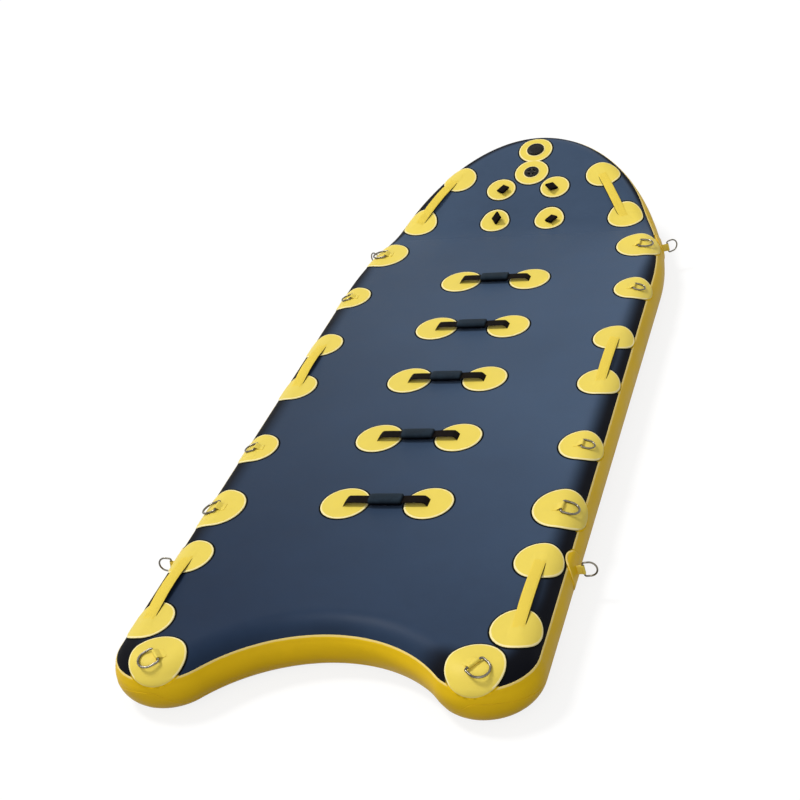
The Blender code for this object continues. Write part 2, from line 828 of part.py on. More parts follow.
def deck_sleeve(ring):
    """Fabric folded round the bar and laid back on the patch as a tongue."""
    outer = sleeve_radius(ring)
    sunk = -outer - SLEEVE_SINK
    arc = np.radians(np.arange(-60, 91, FOLD_STEP))
    outline = [(outer * math.cos(a), outer * math.sin(a)) for a in arc]
    outline += [(-outer * 0.8, outer * 0.75), (-TONGUE / 2, -outer * 0.1)]
    outline += [(-TONGUE, -outer + TONGUE_TIP), (-TONGUE, sunk), (outer / 2, sunk)]
    return prism(outline, [tunnel(ring)], ring["sleeve"] / 2)


def standing_tab(ring):
    """Fabric folded round the bar that stands off the wall."""
    outer = sleeve_radius(ring)
    arc = np.radians(np.arange(-90, 91, FOLD_STEP))
    outline = [(outer * math.cos(a), outer * math.sin(a)) for a in arc]
    root = -TAB - SLEEVE_SINK
    waist = -outer * TAB_FLARE
    outline += [(waist, FABRIC), (root, FABRIC), (root, -FABRIC), (waist, -FABRIC)]
    return prism(outline, [tunnel(ring)], ring["sleeve"] / 2)


def resting_tilt(ring, frame):
    """How far the ring hangs down from level before its bow nearly touches the patch on the rail."""
    path = ring_path(ring)
    local = np.column_stack([path, np.zeros(len(path))])
    floor = PATCH_TOP + bar_radius(ring) + RING_REST_GAP
    low = 0.0
    high = STEEPEST_REST
    for _ in range(REST_STEPS):
        tilt = (low + high) / 2
        tilted = frame @ Matrix.Rotation(tilt, 4, "Y")
        clear = height_over_deck(in_frame(local, tilted)).min() > floor
        low, high = (tilt, high) if clear else (low, tilt)
    return low


def place_ring(ring, frame, name, meshes, material):
    """The right-hand ring in its frame and the left-hand one in the mirrored frame."""
    add_object(f"ring_{name}_right", meshes[id(ring)], material, frame)
    flip = Matrix.Scale(-1, 4, (1, 0, 0))
    turned_over = Matrix.Scale(-1, 4, (0, 1, 0))
    add_object(f"ring_{name}_left", meshes[id(ring)], material, flip @ frame @ turned_over)


def build_deck_rings(meshes, steel, patch_fabric):
    spots = {}
    for name, (s, inset, ring) in DECK_RINGS.items():
        spots[name] = ((half_width_at(s) - inset, s), (1.0, 0.0), ring)
    corner = (HALF_WIDTH - HORN_RADIUS + CORNER_RING[0], HORN_RADIUS + CORNER_RING[1])
    spots["corner"] = (corner, CORNER_DIRECTION, BIG_RING)
    for name, (centre, direction, ring) in spots.items():
        frame = surface_frame(centre, PATCH_TOP + sleeve_radius(ring), direction)
        points, faces = deck_sleeve(ring)
        body = disc(centre, ring["patch"], GAP, PATCH)
        patch = fuse(f"ring_patch_{name}_right", [body, (in_frame(points, frame), faces)])
        add_pair(f"ring_patch_{name}", patch, patch_fabric, place(centre, GAP)[0])
        rest = frame @ Matrix.Rotation(resting_tilt(ring, frame), 4, "Y")
        place_ring(ring, rest, name, meshes, steel)


def build_side_rings(meshes, steel, patch_fabric):
    """Rings whose bar stands upright on the sidewall, so that they stick straight out."""
    for name, (s, swing) in SIDE_RINGS.items():
        ring = SMALL_RING
        nearest = np.abs(FEET[:, 1] - s) + (FEET[:, 0] < 0)
        foot = FEET[nearest.argmin()]
        normal = FINE_NORMALS[nearest.argmin()]
        centre = foot + normal * RAIL * SIDE_RING_ANGLE
        wall = surface_frame(centre, PATCH_TOP + TAB, normal)
        out = wall.to_3x3().col[2]
        up = -wall.to_3x3().col[0]
        frame = Matrix([out, up, out.cross(up)]).transposed().to_4x4()
        frame.translation = wall.translation
        points, faces = standing_tab(ring)
        body = disc(centre, SIDE_PATCH_RADIUS, GAP, PATCH)
        patch = fuse(f"ring_patch_{name}_right", [body, (in_frame(points, frame), faces)])
        add_pair(f"ring_patch_{name}", patch, patch_fabric, place(centre, GAP)[0])
        rest = frame @ Matrix.Rotation(swing, 4, "Y")
        place_ring(ring, rest, name, meshes, steel)


# Handles

def build_centre_handles(webbing, rubber):
    """Webbing between two patches, lifted just enough for the grip on its middle."""
    run = (CENTRE_HALF - GRIP_LENGTH / 2 - GRIP_LEVEL) / (2 * CENTRE_HALF)
    low = PATCH_TOP - STRAP_SINK

    def height(u):
        return low + (CENTRE_RISE - low) * ease(min(u, 1 - u) / run)

    steps = list(np.linspace(0, run, CENTRE_STRAP_STEPS + 1))
    steps += [1 - u for u in reversed(steps)]
    ends = [(-CENTRE_HALF, CENTRE_FIRST), (CENTRE_HALF, CENTRE_FIRST)]
    discs = [disc(end, CENTRE_PATCH_RADIUS, GAP, PATCH) for end in ends]
    mesh = fuse("centre_handle_strap", discs[:1] + [strap(*ends, STRAP_WIDTH, height, steps)] + discs[1:])
    origin = Vector(place((0, CENTRE_FIRST), 0.0)[0])
    mesh.transform(Matrix.Translation(-origin))
    half_width = GRIP_WIDTH / 2
    half_depth = GRIP_THICKNESS / 2
    bulge = half_width - half_depth
    turns = np.radians(np.arange(-90, 91, FOLD_STEP))
    outline = [(bulge + half_depth * math.cos(a), half_depth * math.sin(a)) for a in turns]
    outline += [(-x, z) for x, z in reversed(outline)]
    slot_x = STRAP_WIDTH / 2 + GRIP_CLEARANCE
    slot_z = WEBBING / 2 + GRIP_CLEARANCE
    slot = [(-slot_x, -slot_z), (slot_x, -slot_z), (slot_x, slot_z), (-slot_x, slot_z)]
    points, faces = prism(outline, [slot], GRIP_LENGTH / 2)
    across = Matrix.Translation((0, 0, CENTRE_RISE)) @ Matrix.Rotation(math.pi / 2, 4, "Z")
    grip = make_mesh("centre_handle_grip", (in_frame(points, across), faces))
    for number in range(CENTRE_COUNT):
        frame = Matrix.Translation(origin + Vector((0, number * CENTRE_PITCH, 0)))
        add_object(f"centre_handle_strap_{number + 1}", mesh, webbing, frame)
        add_object(f"centre_handle_grip_{number + 1}", grip, rubber, frame)


def build_side_handles(fabric):
    """A yellow band arched between two round lobes near the deck's edge."""
    handles = {}
    edge = HALF_WIDTH - LOBE_INSET
    for name, middle in SIDE_HANDLES.items():
        lobes = [(edge, middle - SIDE_HANDLE_HALF), (edge, middle + SIDE_HANDLE_HALF)]
        shift = (LOBE_INSET - SIDE_STRAP_INSET, 0.0)
        handles[name] = (lobes, shift, LOBE_RADIUS)
    nose = []
    for back in reversed(NOSE_LOBES_FROM_TIP):
        s = TIP - back
        nose.append((half_width_at(s) - NOSE_LOBE_INSET, s))
    handles["nose"] = (nose, (0.0, 0.0), NOSE_LOBE_RADIUS)
    low = PATCH_TOP - STRAP_SINK

    def height(u):
        return low + (SIDE_RISE - low) * ease(min(u, 1 - u) / SIDE_RAMP)

    steps = np.linspace(0, 1, SIDE_STRAP_STEPS + 1)
    for name, (lobes, shift, radius) in handles.items():
        ends = [np.array(lobe) + shift for lobe in lobes]
        band = strap(ends[0], ends[1], STRAP_WIDTH, height, steps)
        discs = [disc(lobe, radius, GAP, PATCH) for lobe in lobes]
        mesh = fuse(f"side_handle_{name}_right", discs[:1] + [band] + discs[1:])
        add_pair(f"side_handle_{name}", mesh, fabric, place(np.mean(ends, axis=0), 0.0)[0])


# Nose loops

def loop_frame(side, back, heading, lean):
    """The loop's frame: X along the loop, Y along its base, tipped up off the pad."""
    direction = (math.cos(heading), math.sin(heading))
    frame = surface_frame(loop_spot(side, back), PATCH + LOOP_SEAT_GAP + LOOP_OUTER, direction)
    return frame @ Matrix.Rotation(-lean, 4, "Y")


def build_loops(webbing):
    """Webbing doubled into a flat loop: a stadium ring in section, hinged at its base."""
    def stadium(radius):
        turns = np.radians(np.arange(-90, 91, LOOP_STEP))
        far = [(LOOP_REACH + radius * math.cos(a), radius * math.sin(a)) for a in turns]
        near = [(-radius * math.cos(a), -radius * math.sin(a)) for a in turns]
        return far + near

    solid = prism(stadium(LOOP_OUTER), [stadium(LOOP_OUTER - FABRIC)], LOOP_WIDTH / 2)
    mesh = make_mesh("nose_loop", solid)
    for name, spot in NOSE_LOOPS.items():
        add_object(f"nose_loop_{name}", mesh, webbing, loop_frame(*spot))


# Valves

def coil(radius, low, high, frame):
    """A compression spring's wire."""
    count = SPRING_TURNS * COIL_STEPS + 1
    rings = []
    for step in range(count):
        turn = 2 * math.pi * step / COIL_STEPS
        height = low + (high - low) * step / (count - 1)
        out = np.array([math.cos(turn), math.sin(turn)])
        section = circle((0, 0), SPRING_WIRE, COIL_SIDES)
        rings.append([(*(out * (radius + across)), height + up) for across, up in section])
    points, faces = tube(np.array(rings))
    return in_frame(points, frame), [face[::-1] for face in faces]


def build_inflation_valve(plastic, steel):
    spot = (VALVE_X, TIP - INFLATION_FROM_TIP)
    frame = surface_frame(spot, 0.0, (1.0, 0.0))
    v = INFLATION
    flange_low = PATCH + GAP
    flange_top = flange_low + FLANGE_HEIGHT
    floor = -v["depth"]
    seat_top = floor + SEAT_THICKNESS
    body = [(v["seat"], floor), (v["barrel"], floor), (v["barrel"], flange_low)]
    inward, down = FLANGE_BEVEL
    body += [(v["flange"], flange_low), (v["flange"], flange_top - down)]
    body += [(v["flange"] - inward, flange_top), (v["bore"], flange_top)]
    body += [(v["bore"], seat_top), (v["seat"], seat_top)]
    add_turned("inflation_valve_body", body, TURNED_SIDES, frame, plastic)
    cap_low = flange_top + GAP
    plug = v["bore"] * math.cos(math.pi / TURNED_SIDES) - GAP
    plug_low = cap_low - CAP_PLUG
    cap = [(0, plug_low), (plug, plug_low), (plug, cap_low), (CAP_RADIUS, cap_low)]
    cap_top = cap_low + CAP_HEIGHT
    cap_edge = cap_low + CAP_EDGE_SHARE * CAP_HEIGHT
    cap += [(CAP_RADIUS, cap_edge), (CAP_RADIUS - CAP_BEVEL, cap_top), (0, cap_top)]
    add_turned("inflation_valve_cap", cap, TURNED_SIDES, frame, plastic)
    head_top = plug_low - CAP_TO_PLUNGER
    head_low = head_top - PLUNGER_HEAD_DEPTH
    seal_top = floor - GAP
    seal = v["seat"] + SEAL_LAP
    plunger = [(0, seal_top - DISC_THICKNESS), (seal, seal_top - DISC_THICKNESS), (seal, seal_top)]
    plunger += [(PLUNGER_STEM, seal_top), (PLUNGER_STEM, head_low), (PLUNGER_HEAD, head_low)]
    plunger += [(PLUNGER_HEAD, head_top), (0, head_top)]
    add_turned("inflation_valve_plunger", plunger, PLUNGER_SIDES, frame, plastic)
    clear = GAP + SPRING_WIRE
    wire = coil(INFLATION_SPRING_RADIUS, seat_top + clear, head_low - clear, frame)
    add_in_frame("inflation_valve_spring", wire, steel, frame)


def window(spoke, hub, rim):
    """One opening of the relief valve's cover, between two spokes."""
    half_spoke = SPOKE_WIDTH / 2
    start = 2 * math.pi * spoke / SPOKES
    width = 2 * math.pi / SPOKES
    points = []
    for radius, turns in ((hub, np.linspace(0, 1, 3)), (rim, np.linspace(1, 0, 4))):
        trim = math.asin(half_spoke / radius)
        for t in turns:
            turn = start + trim + t * (width - 2 * trim)
            points.append((radius * math.cos(turn), radius * math.sin(turn)))
    return points


def build_relief_valve(plastic, steel):
    spot = (VALVE_X, TIP - RELIEF_FROM_TIP)
    frame = surface_frame(spot, 0.0, (1.0, 0.0))
    v = RELIEF
    flange_low = PATCH + GAP
    floor = -v["depth"]
    seat_top = floor + SEAT_THICKNESS
    rim = circle((0, 0), v["flange"], TURNED_SIDES)
    windows = [window(spoke, RELIEF_HUB, v["bore"]) for spoke in range(SPOKES)]
    points, faces = prism(rim, windows, RELIEF_COVER / 2)
    lifted = Matrix.Translation((0, 0, flange_low + RELIEF_COVER / 2))
    cover = (in_frame(points, frame @ lifted @ Matrix.Rotation(math.pi / 2, 4, "X")), faces)
    bore = v["bore"] + COVER_LEDGE
    barrel_top = flange_low + COVER_OVER_BARREL
    barrel = [(v["seat"], floor), (v["barrel"], floor), (v["barrel"], barrel_top), (bore, barrel_top)]
    barrel += [(bore, seat_top), (v["seat"], seat_top)]
    body = fuse("relief_valve_body", [cover, turned(barrel, TURNED_SIDES, frame)])
    add_at("relief_valve_body", body, plastic, frame.translation)
    disc_low = seat_top + GAP
    disc_top = disc_low + DISC_THICKNESS
    guide = disc_top + RELIEF_GUIDE
    seal = v["seat"] + SEAL_LAP
    plate = [(0, disc_low), (seal, disc_low), (seal, disc_top)]
    plate += [(PLUNGER_STEM, disc_top), (PLUNGER_STEM, guide), (0, guide)]
    add_turned("relief_valve_disc", plate, PLUNGER_SIDES, frame, plastic)
    clear = GAP + SPRING_WIRE
    wire = coil(RELIEF_SPRING_RADIUS, disc_top + clear, flange_low - clear, frame)
    add_in_frame("relief_valve_spring", wire, steel, frame)


def add_turned(name, profile, sides, frame, material):
    add_in_frame(name, turned(profile, sides, frame), material, frame)


def add_in_frame(name, solid, material, frame):
    """An object of a world-space solid whose origin and axes are the frame's."""
    mesh = make_mesh(name, solid)
    mesh.transform(frame.inverted())
    add_object(name, mesh, material, frame)


def main():
    clear_scene()
    navy = make_material("deck_fabric", (0.055, 0.085, 0.130), 0.55)
    yellow_wall = make_material("sidewall_fabric", (0.560, 0.350, 0.035), 0.50)
    yellow = make_material("patch_fabric", (0.790, 0.610, 0.150), 0.50)
    yarn = make_material("core_yarn", (0.780, 0.770, 0.740), 0.90)
    black_webbing = make_material("black_webbing", (0.020, 0.018, 0.017), 0.85)
    yellow_band = make_material("handle_band", (0.760, 0.580, 0.130), 0.60)
    rubber = make_material("grip_rubber", (0.016, 0.017, 0.020), 0.60)
    stainless = make_material("stainless_steel", (0.620, 0.620, 0.610), 0.25, 1.0)
    valve_plastic = make_material("valve_plastic", (0.018, 0.018, 0.020), 0.45)
    build_deck(navy)
    build_bottom(navy)
    build_sidewalls(yellow_wall)
    build_core(yarn)
    meshes = {}
    for name, ring in (("big_ring", BIG_RING), ("small_ring", SMALL_RING)):
        meshes[id(ring)] = make_mesh(name, ring_solid(ring))
    build_deck_rings(meshes, stainless, yellow)
    build_side_rings(meshes, stainless, yellow)
    build_centre_handles(black_webbing, rubber)
    build_side_handles(yellow_band)
    build_loops(black_webbing)
    build_inflation_valve(valve_plastic, stainless)
    build_relief_valve(valve_plastic, stainless)


main()
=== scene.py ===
"""Looks of the inflatable rescue sled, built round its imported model, in metres.

Places on the board are given in plan: x across, and s from the tips of the tail horns along the
flat board. lifted() carries a plan place to the real surface, round the rail and up the bent nose.
"""

import json
import math

import bmesh
import bpy
import numpy as np
from bpy.props import FloatProperty, FloatVectorProperty, IntProperty, PointerProperty
from mathutils import Matrix, Vector
from mathutils.geometry import delaunay_2d_cdt
from mathutils.kdtree import KDTree


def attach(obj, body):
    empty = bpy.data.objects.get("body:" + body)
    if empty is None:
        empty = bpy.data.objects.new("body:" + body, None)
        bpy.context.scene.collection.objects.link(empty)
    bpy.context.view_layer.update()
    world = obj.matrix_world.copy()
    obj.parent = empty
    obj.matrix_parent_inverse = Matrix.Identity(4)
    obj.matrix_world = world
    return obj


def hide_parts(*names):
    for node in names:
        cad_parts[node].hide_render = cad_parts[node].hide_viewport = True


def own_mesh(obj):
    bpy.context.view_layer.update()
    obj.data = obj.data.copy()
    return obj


bl_info = {
    "name": "Inflatable rescue sled",
    "version": (1, 0, 0),
    "blender": (4, 5, 0),
    "location": "View3D > Sidebar > Sled",
    "description": "Builds the sled's fabric, webbing, rings and valves round its packed model",
    "category": "Object",
}

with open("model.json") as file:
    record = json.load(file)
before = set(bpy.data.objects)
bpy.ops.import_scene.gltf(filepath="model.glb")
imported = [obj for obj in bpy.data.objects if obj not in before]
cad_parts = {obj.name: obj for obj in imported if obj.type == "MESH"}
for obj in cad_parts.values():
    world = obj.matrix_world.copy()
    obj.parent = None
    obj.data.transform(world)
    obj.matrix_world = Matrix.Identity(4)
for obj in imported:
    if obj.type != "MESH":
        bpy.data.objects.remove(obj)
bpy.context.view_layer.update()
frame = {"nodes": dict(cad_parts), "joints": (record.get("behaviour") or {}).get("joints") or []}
JOINTS = {joint["name"]: joint for joint in frame["joints"]}

# Board
THICKNESS = 0.150
HALF_WIDTH = 0.555
HORN_RADIUS = 0.144
NOTCH_DEPTH = 0.203
SIDE_END = 2.200
NOSE_LENGTH = 0.976
BEND_START = 2.569
BEND_LENGTH = 0.144
NOSE_LIFT = math.radians(22.3)
SKIN = 0.0018
SKIN_UNDER_HEM = math.radians(3)
DECK_WRAP = math.radians(50)
BOTTOM_WRAP = math.radians(12)
GAP = 0.0003
RAIL = THICKNESS / 2
TIP = SIDE_END + NOSE_LENGTH
TINY = 0.0005
ACROSS = (1.0, 0.0)
SIDES = (("right", 1), ("left", -1))

# The skins' meshes: rows round the rail, rows inside the flat edge, and lines across them at the bend
DECK_ROWS = 13
BOTTOM_ROWS = 4
INNER_ROWS = (0.012, 0.024, 0.036)
FOLD_HALF = 0.52
FOLD_STEPS = 27
FOLD_REACH = 0.012
FOLD_SHARE = 0.998

# Fabric patches and webbing
PATCH = 0.0025
PATCH_TOP = GAP + PATCH
FABRIC = 0.0015
WEBBING = 0.0020
STRAP_WIDTH = 0.037
SELVEDGE = 0.45
BEVEL_ROWS = ((0.5, 0.07), (0.15, 0.28), (0.0, 0.55))  # share of the bevel inwards, share of the way down
FLAT_ROWS = 13
UNDER_STEP = 0.012
GLUE_LAP = 0.0006
GLUE_LEVEL = 0.0001
PAD_BASE = 0.0001
STITCH_SHARE = 0.44
SLIT_TOP = 0.0001
SLIT_FLOOR = -0.0012
SLIT_ENDS = 0.25
# Painted shadow along one edge of each side band: the dark strip's width, and how far out and below the band it lies
SHADOW_STRIP_WIDTH = 0.0024
EDGE_DROP = 0.0006

# D-rings: wire, span between the leg centrelines, reach from the bar to the bow, sleeve's width, patch's radius
BIG_RING = dict(wire=0.006, span=0.054, reach=0.047, corner=0.006, sleeve=0.034, patch=0.079)
SMALL_RING = dict(wire=0.005, span=0.041, reach=0.036, corner=0.005, sleeve=0.026, patch=0.066)
BAR_CLEARANCE = 0.0003
TONGUE = 0.024
TONGUE_FLAT = 0.55
TONGUE_LEAVES = 0.42
TONGUE_SINK = 0.0002
TAB = 0.016
TAB_WAIST = 0.6
TAB_GAP = 0.0001
TAB_SINK = 0.001
SIDE_PATCH_RADIUS = 0.052
SIDE_RING_ANGLE = math.radians(84)
RING_PATCH_LONGER = 1.18

# Where the rings are: how far along, how far in from the outline, and which ring
DECK_RINGS = {
    "bow": (2.440, 0.080, BIG_RING),
    "shoulder": (2.094, 0.066, SMALL_RING),
    "waist": (1.074, 0.066, SMALL_RING),
    "quarter": (0.745, 0.064, BIG_RING),
}
CORNER_RING = (-0.006, -0.082)
CORNER_DIRECTION = (0.79, -0.61)
CORNER_PATCH_RADIUS = 0.0755
CORNER_PATCH_LONGER = 1.05
SIDE_RINGS = {"side_front": 2.535, "side_rear": 0.556}

# Handles and loops
CENTRE_FIRST = 0.766
CENTRE_PITCH = 0.356
CENTRE_COUNT = 5
CENTRE_HALF = 0.120
CENTRE_PATCH_RADIUS = 0.0685
CENTRE_PATCH_LONGER = 1.13
CENTRE_SINK = 0.0004
CENTRE_STITCHES = (0.034, 0.040)
GRIP_LENGTH = 0.094
GRIP_WIDTH = 0.046
GRIP_THICKNESS = 0.020
GRIP_CLEAR = 0.004
# Heights from which to which the grip's upper side is painted lighter, as sheen
GRIP_SHEEN = (-0.002, 0.009)
GRIP_ENDS = ((0.0002, 0.80), (0.0008, 0.87), (0.0022, 0.93), (0.006, 0.955))  # from the end, share of full size
GRIP_MIDDLE = ((-0.03, 0.96), (0.0, 0.965), (0.03, 0.96))
GRIP_RIB = ((-0.0011, 0.93), (-0.0007, 0.985), (0.0, 0.998), (0.0007, 0.985), (0.0011, 0.93))
SIDE_HANDLES = {"middle": 1.591, "tail": 0.353}
SIDE_HANDLE_HALF = 0.1445
LOBE_RADIUS = 0.0655
LOBE_INSET = 0.077
NOSE_LOBES_FROM_TIP = (0.260, 0.490)
NOSE_LOBE_RADIUS = 0.0630
NOSE_LOBE_INSET = 0.103
LOBE_LONGER = {"middle": (1.18, 1.18), "tail": (1.18, 1.18), "nose": (1.28, 1.00)}
LOBE_OUT = {"right": (0.0, 0.0), "left": (0.006, 0.002)}
BAND_OUT = {"right": {"middle": 0.006, "tail": 0.006, "nose": -0.004},
            "left": {"middle": 0.012, "tail": 0.014, "nose": 0.014}}
NOSE_LEFT_MOVED = ((0.008, 0.012), (-0.004, 0.012))
SIDE_BAND_WIDTH = {"right": 0.031, "left": 0.035}
SIDE_STRAP_INSET = 0.081
SIDE_SINK = 0.0003
BURIED_LENGTH = 0.033
BURIED_RISE = 0.0007
BURIED_BACK = 0.001
BURIED_SIDE = 0.003
BURIED_SLOPE = 0.004
LOOP_X = 0.101
LOOP_PAD_RADIUS = 0.0535
LOOP_WIDTH = 0.034
LOOP_REACH = 0.026
LOOP_OUTER = 0.0048
LOOP_WAIST = 0.93
LOOP_SEAM = 0.97
LOOP_STITCHES = (0.0035, 0.0065)
REAR_LOOP_PAD_LONGER = 1.28
LOOP_PADS = {"front_right": (1, 0.315), "front_left": (-1, 0.315),
             "rear_right": (1, 0.487), "rear_left": (-1, 0.487)}

# Valves
VALVE_X = 0.003
INFLATION_FROM_TIP = 0.113
RELIEF_FROM_TIP = 0.232
VALVE_PAD_RADIUS = 0.063
INFLATION = dict(flange=0.032, barrel=0.019, bore=0.0155, seat=0.008, depth=0.028)
RELIEF = dict(flange=0.0275, barrel=0.0185, bore=0.0155, seat=0.009, depth=0.022)
VALVES = {"inflation": ((VALVE_X, TIP - INFLATION_FROM_TIP), INFLATION),
          "relief": ((VALVE_X, TIP - RELIEF_FROM_TIP), RELIEF)}
FLANGE_HEIGHT = 0.0035
SEAT_THICKNESS = 0.003
CAP_RADIUS = 0.0275
CAP_HEIGHT = 0.0045
CAP_PLUG = 0.0052
PLUNGER_STEM = 0.003
PLUNGER_HEAD = 0.0125
PLUNGER_HEAD_DEPTH = 0.0020
DISC_THICKNESS = 0.002
SPRING_WIRE = 0.0007
SPRING_TURNS = 4
STEPS_A_TURN = 24
INFLATION_SPRING_RADIUS = 0.0105
RELIEF_SPRING_RADIUS = 0.0078
RELIEF_COVER = 0.0030
RELIEF_GUIDE = 0.006
CAP_TO_PLUNGER = 0.0015
SEAL_LAP = 0.003
TURNED_SIDES = 56
CAD_SIDES = 20
HOLE_CLEARANCE = 0.0005
ROUND = 0.0006

# Turned edges of the valves: radius and height from the corner that each of them shapes
BARREL_FOOT = ((-0.001, 0.0), (0.0, 0.001))
FLANGE_FOOT = ((-ROUND, 0.0), (0.0, ROUND))
INFLATION_LIP = ((0.0, -0.0014), (-ROUND, -0.0004), (-0.0018, 0.0))
CAP_RECESS = ((0.0010, 0.0), (0.0004, -0.0003))
BORE_LIP = ((0.0008, -0.0003), (0.0, -0.001))
THREAD = ((0.0, 0.0), (-0.0002, -0.0007), (0.0, -0.0014))
THREAD_LEVELS = (-0.0030, -0.0052, -0.0074, -0.0096)
CAP_RIM = ((-0.0005, 0.0), (0.0, 0.0005), (0.0, 0.0024), (-ROUND, 0.0034), (-0.0022, 0.0040))
CAP_FACE = ((0.0205, -0.0003), (0.0195, -0.0010), (0.0180, -0.0010), (0.0172, -0.0003), (0.0150, -0.0001),
            (0.0080, 0.0), (0.0, 0.0))
RELIEF_LIP = ((0.0, -0.0012), (-0.0007, -0.0003), (-0.0018, 0.0), (-0.0050, 0.0), (-0.0056, -ROUND),
              (-0.0070, -ROUND), (-0.0076, 0.0))
RELIEF_BORE_LIP = ((0.0010, 0.0), (0.0, -0.0008))
SEAL_FOOT = ((-0.0005, 0.0), (0.0, 0.0005))
SEAL_HEAD = ((0.0, -0.0005), (-ROUND, 0.0))
GUIDE_HEAD = ((0.0, -ROUND), (-ROUND, 0.0))
HUB_FOOT = ((0.0, 0.0), (0.0094, 0.0), (0.0100, ROUND))
HUB_FACE = ((0.0100, -ROUND), (0.0094, 0.0), (0.0050, 0.0), (0.0046, -0.0005), (0.0, -0.0005))
COLLAR_PALE = 0.35
PAD_COLLAR = ((0.0004, -0.0008), (0.0004, 0.0012), (0.0012, 0.0019), (0.0026, 0.0016), (0.0044, 0.0004),
              (0.0050, -0.0008))

# Teeth and dots of the valves: length, width, foot and top over a level, how many, and how far out they stand
CAP_GRIP_TEETH = (0.0022, 0.0026, 0.0006, 0.0030, 24, CAP_RADIUS - 0.0009)
CAP_FACE_BARS = (0.0080, 0.0018, -0.0012, -0.0001, 10, 0.0104)
RELIEF_SPOKES = (0.0080, 0.0050, -RELIEF_COVER, 0.0, 4, 0.0128)
RELIEF_DOTS = (0.0026, 0.0022, -0.0008, 0.0006, 8, 0.0180)
HUB_DOTS = (0.0024, 0.0020, -0.0008, 0.0005, 4, 0.0074)
TOOTH_SHARES = ((-0.5, 0.55), (-0.38, 0.95), (0.0, 1.0), (0.38, 0.95), (0.5, 0.55))

# Drop-stitch core
CORE_SHEET = 0.0010
CORE_TAIL = 0.300
CORE_FRONT = 0.300
CORE_EDGE = 0.004
CORE_YARN = 0.0006

# Coated cloth and webbing: how fine grain and weave are, shift of every other row, height of the relief
GRAIN_SCALE = 900.0
WEAVE_SCALE = 2600.0
HALF_STEP = 1.57
CLOTH_RELIEF = 0.00012
WEBBING_RELIEF = 0.0003
# Share of the darker yellow mixed in as painted shade where the rail mask is full
WALL_SHADE_SHARE = 0.55
DULLER_ROLL = 0.30

# Painted shade and light on the deck: along the slant from its tail's left corner, and across it at places along it
TAIL_SHADE = (-1.6, 0.0)
TILT_GROWS = (-1.2, 0.3, 0.10, 0.34)
TILT_ENDS = (0.80, 1.05, 1.0, 0.0)
TILT_MIDDLE = 0.985

# Seams: how far round the rail the sidewall's hem lies, on the right at places along the board
SEAM_PLACES = (0.25, 1.20, 2.20, 2.70)
SEAM_ANGLES = (math.radians(56), math.radians(51), math.radians(45), math.radians(41))
SEAM_ELSEWHERE = math.radians(58)
SEAM_RIGHT = 0.30
LAP_WIDTH = math.radians(12)
LAP_SLOPES = ((-0.05, 0.05), (LAP_WIDTH - 0.06, 0.14))
WALL_FROM = (-0.04, 0.05)
WALL_DULLS = 0.75
TAPE_HEIGHT = 0.0009
TAPE_SIDE = math.radians(104)
TAPE_HORN = math.radians(84)
TAPE_NOTCH = math.radians(128)
HORN_HEADING = 85
NOTCH_RUN = 0.09
NOTCH_SLACK = 0.01
CREASE_DEPTH = 0.0007
CREASE_WIDTH = 0.005

# The sidewall's cross-section: turn past the hem's or the tape's edge, and share of its height
HEM_SEAT = 0.00012
HEM_ROWS = ((0.0, 0.62), (0.006, 0.93), (0.016, 1.0), (0.09, 1.0), (0.13, 0.75), (0.18, 0.2), (0.23, 0.0))
HEM_FOOT = 0.27
HEM_TUCK = 0.058
TAPE_ROWS = ((-0.008, 0.0), (0.0, 0.6), (0.006, 1.0), (0.03, 1.0))
TAPE_FLAT = 0.08
TAPE_END = 0.03
WALL_LAST_ROWS = ((-0.006, 0.8), (0.0, 0.0))
# Painted shade on the wall: a darker line just above the tape's edge, and darker towards the wall's foot
TAPE_LINE = 0.003
TAPE_BACK = 0.004
TAPE_SHADE = 0.6
WALL_SHADE_FROM = math.radians(75)
WALL_SHADE_OVER = math.radians(60)

# Painted shade over the rail: where, past the flat deck's edge, its fabric begins to darken and is darkest, and what
# moves both by place; each zone gives a start along x or s, or along its reverse, and how far it takes to grow
SHADE = (-0.010, 0.052)
SHADE_MOVES = {"horn": (-0.026, -0.022), "far_side": (-0.012, -0.014), "notch": (0.044, 0.018),
               "nose": (0.016, -0.020), "lit_side": (0.030, 0.026)}
NOTCH_LIGHTER = 0.90
NOTCH_AHEAD = (-NOTCH_DEPTH - 0.12, 0.06)
NOTCH_RIGHT = (-0.36, 0.10)
NOTCH_LEFT = (-0.46, 0.08)
HORN_ZONE = (-0.36, 0.12)
NOSE_ZONE = (SIDE_END, 0.30)
LIT_ZONE = (-0.10, 0.30)
FAR_ZONE = (0.30, 0.15)
BOTTOM_SHADE = 0.5

# The photograph's camera
CAMERA_YAW = math.radians(19.653)
CAMERA_PITCH = math.radians(27.223)
CAMERA_ROLL = math.radians(-10.348)
CAMERA_DISTANCE = 5.3386
CAMERA_AIM = (-0.1185, 1.3548, THICKNESS)
CAMERA_LENS = 79.33
CAMERA_SENSOR = 36.0
CAMERA_REACH = 200.0

# Studio
FLOOR_HALF = 30.0
FLOOR_LEVEL = -0.001
WHITE = (1.0, 1.0, 1.0, 1.0)
LAMP_COLOUR = (1.0, 0.985, 0.965)
KEY_FROM = (-0.50, 0.16, 0.85)
KEY_SPREAD = 14
FILL_FROM = (0.10, -0.86, 0.50)
FILL_SPREAD = 60


# Plan outline

def unit(rows):
    """Each row at length 1."""
    return rows / np.linalg.norm(rows, axis=-1, keepdims=True)


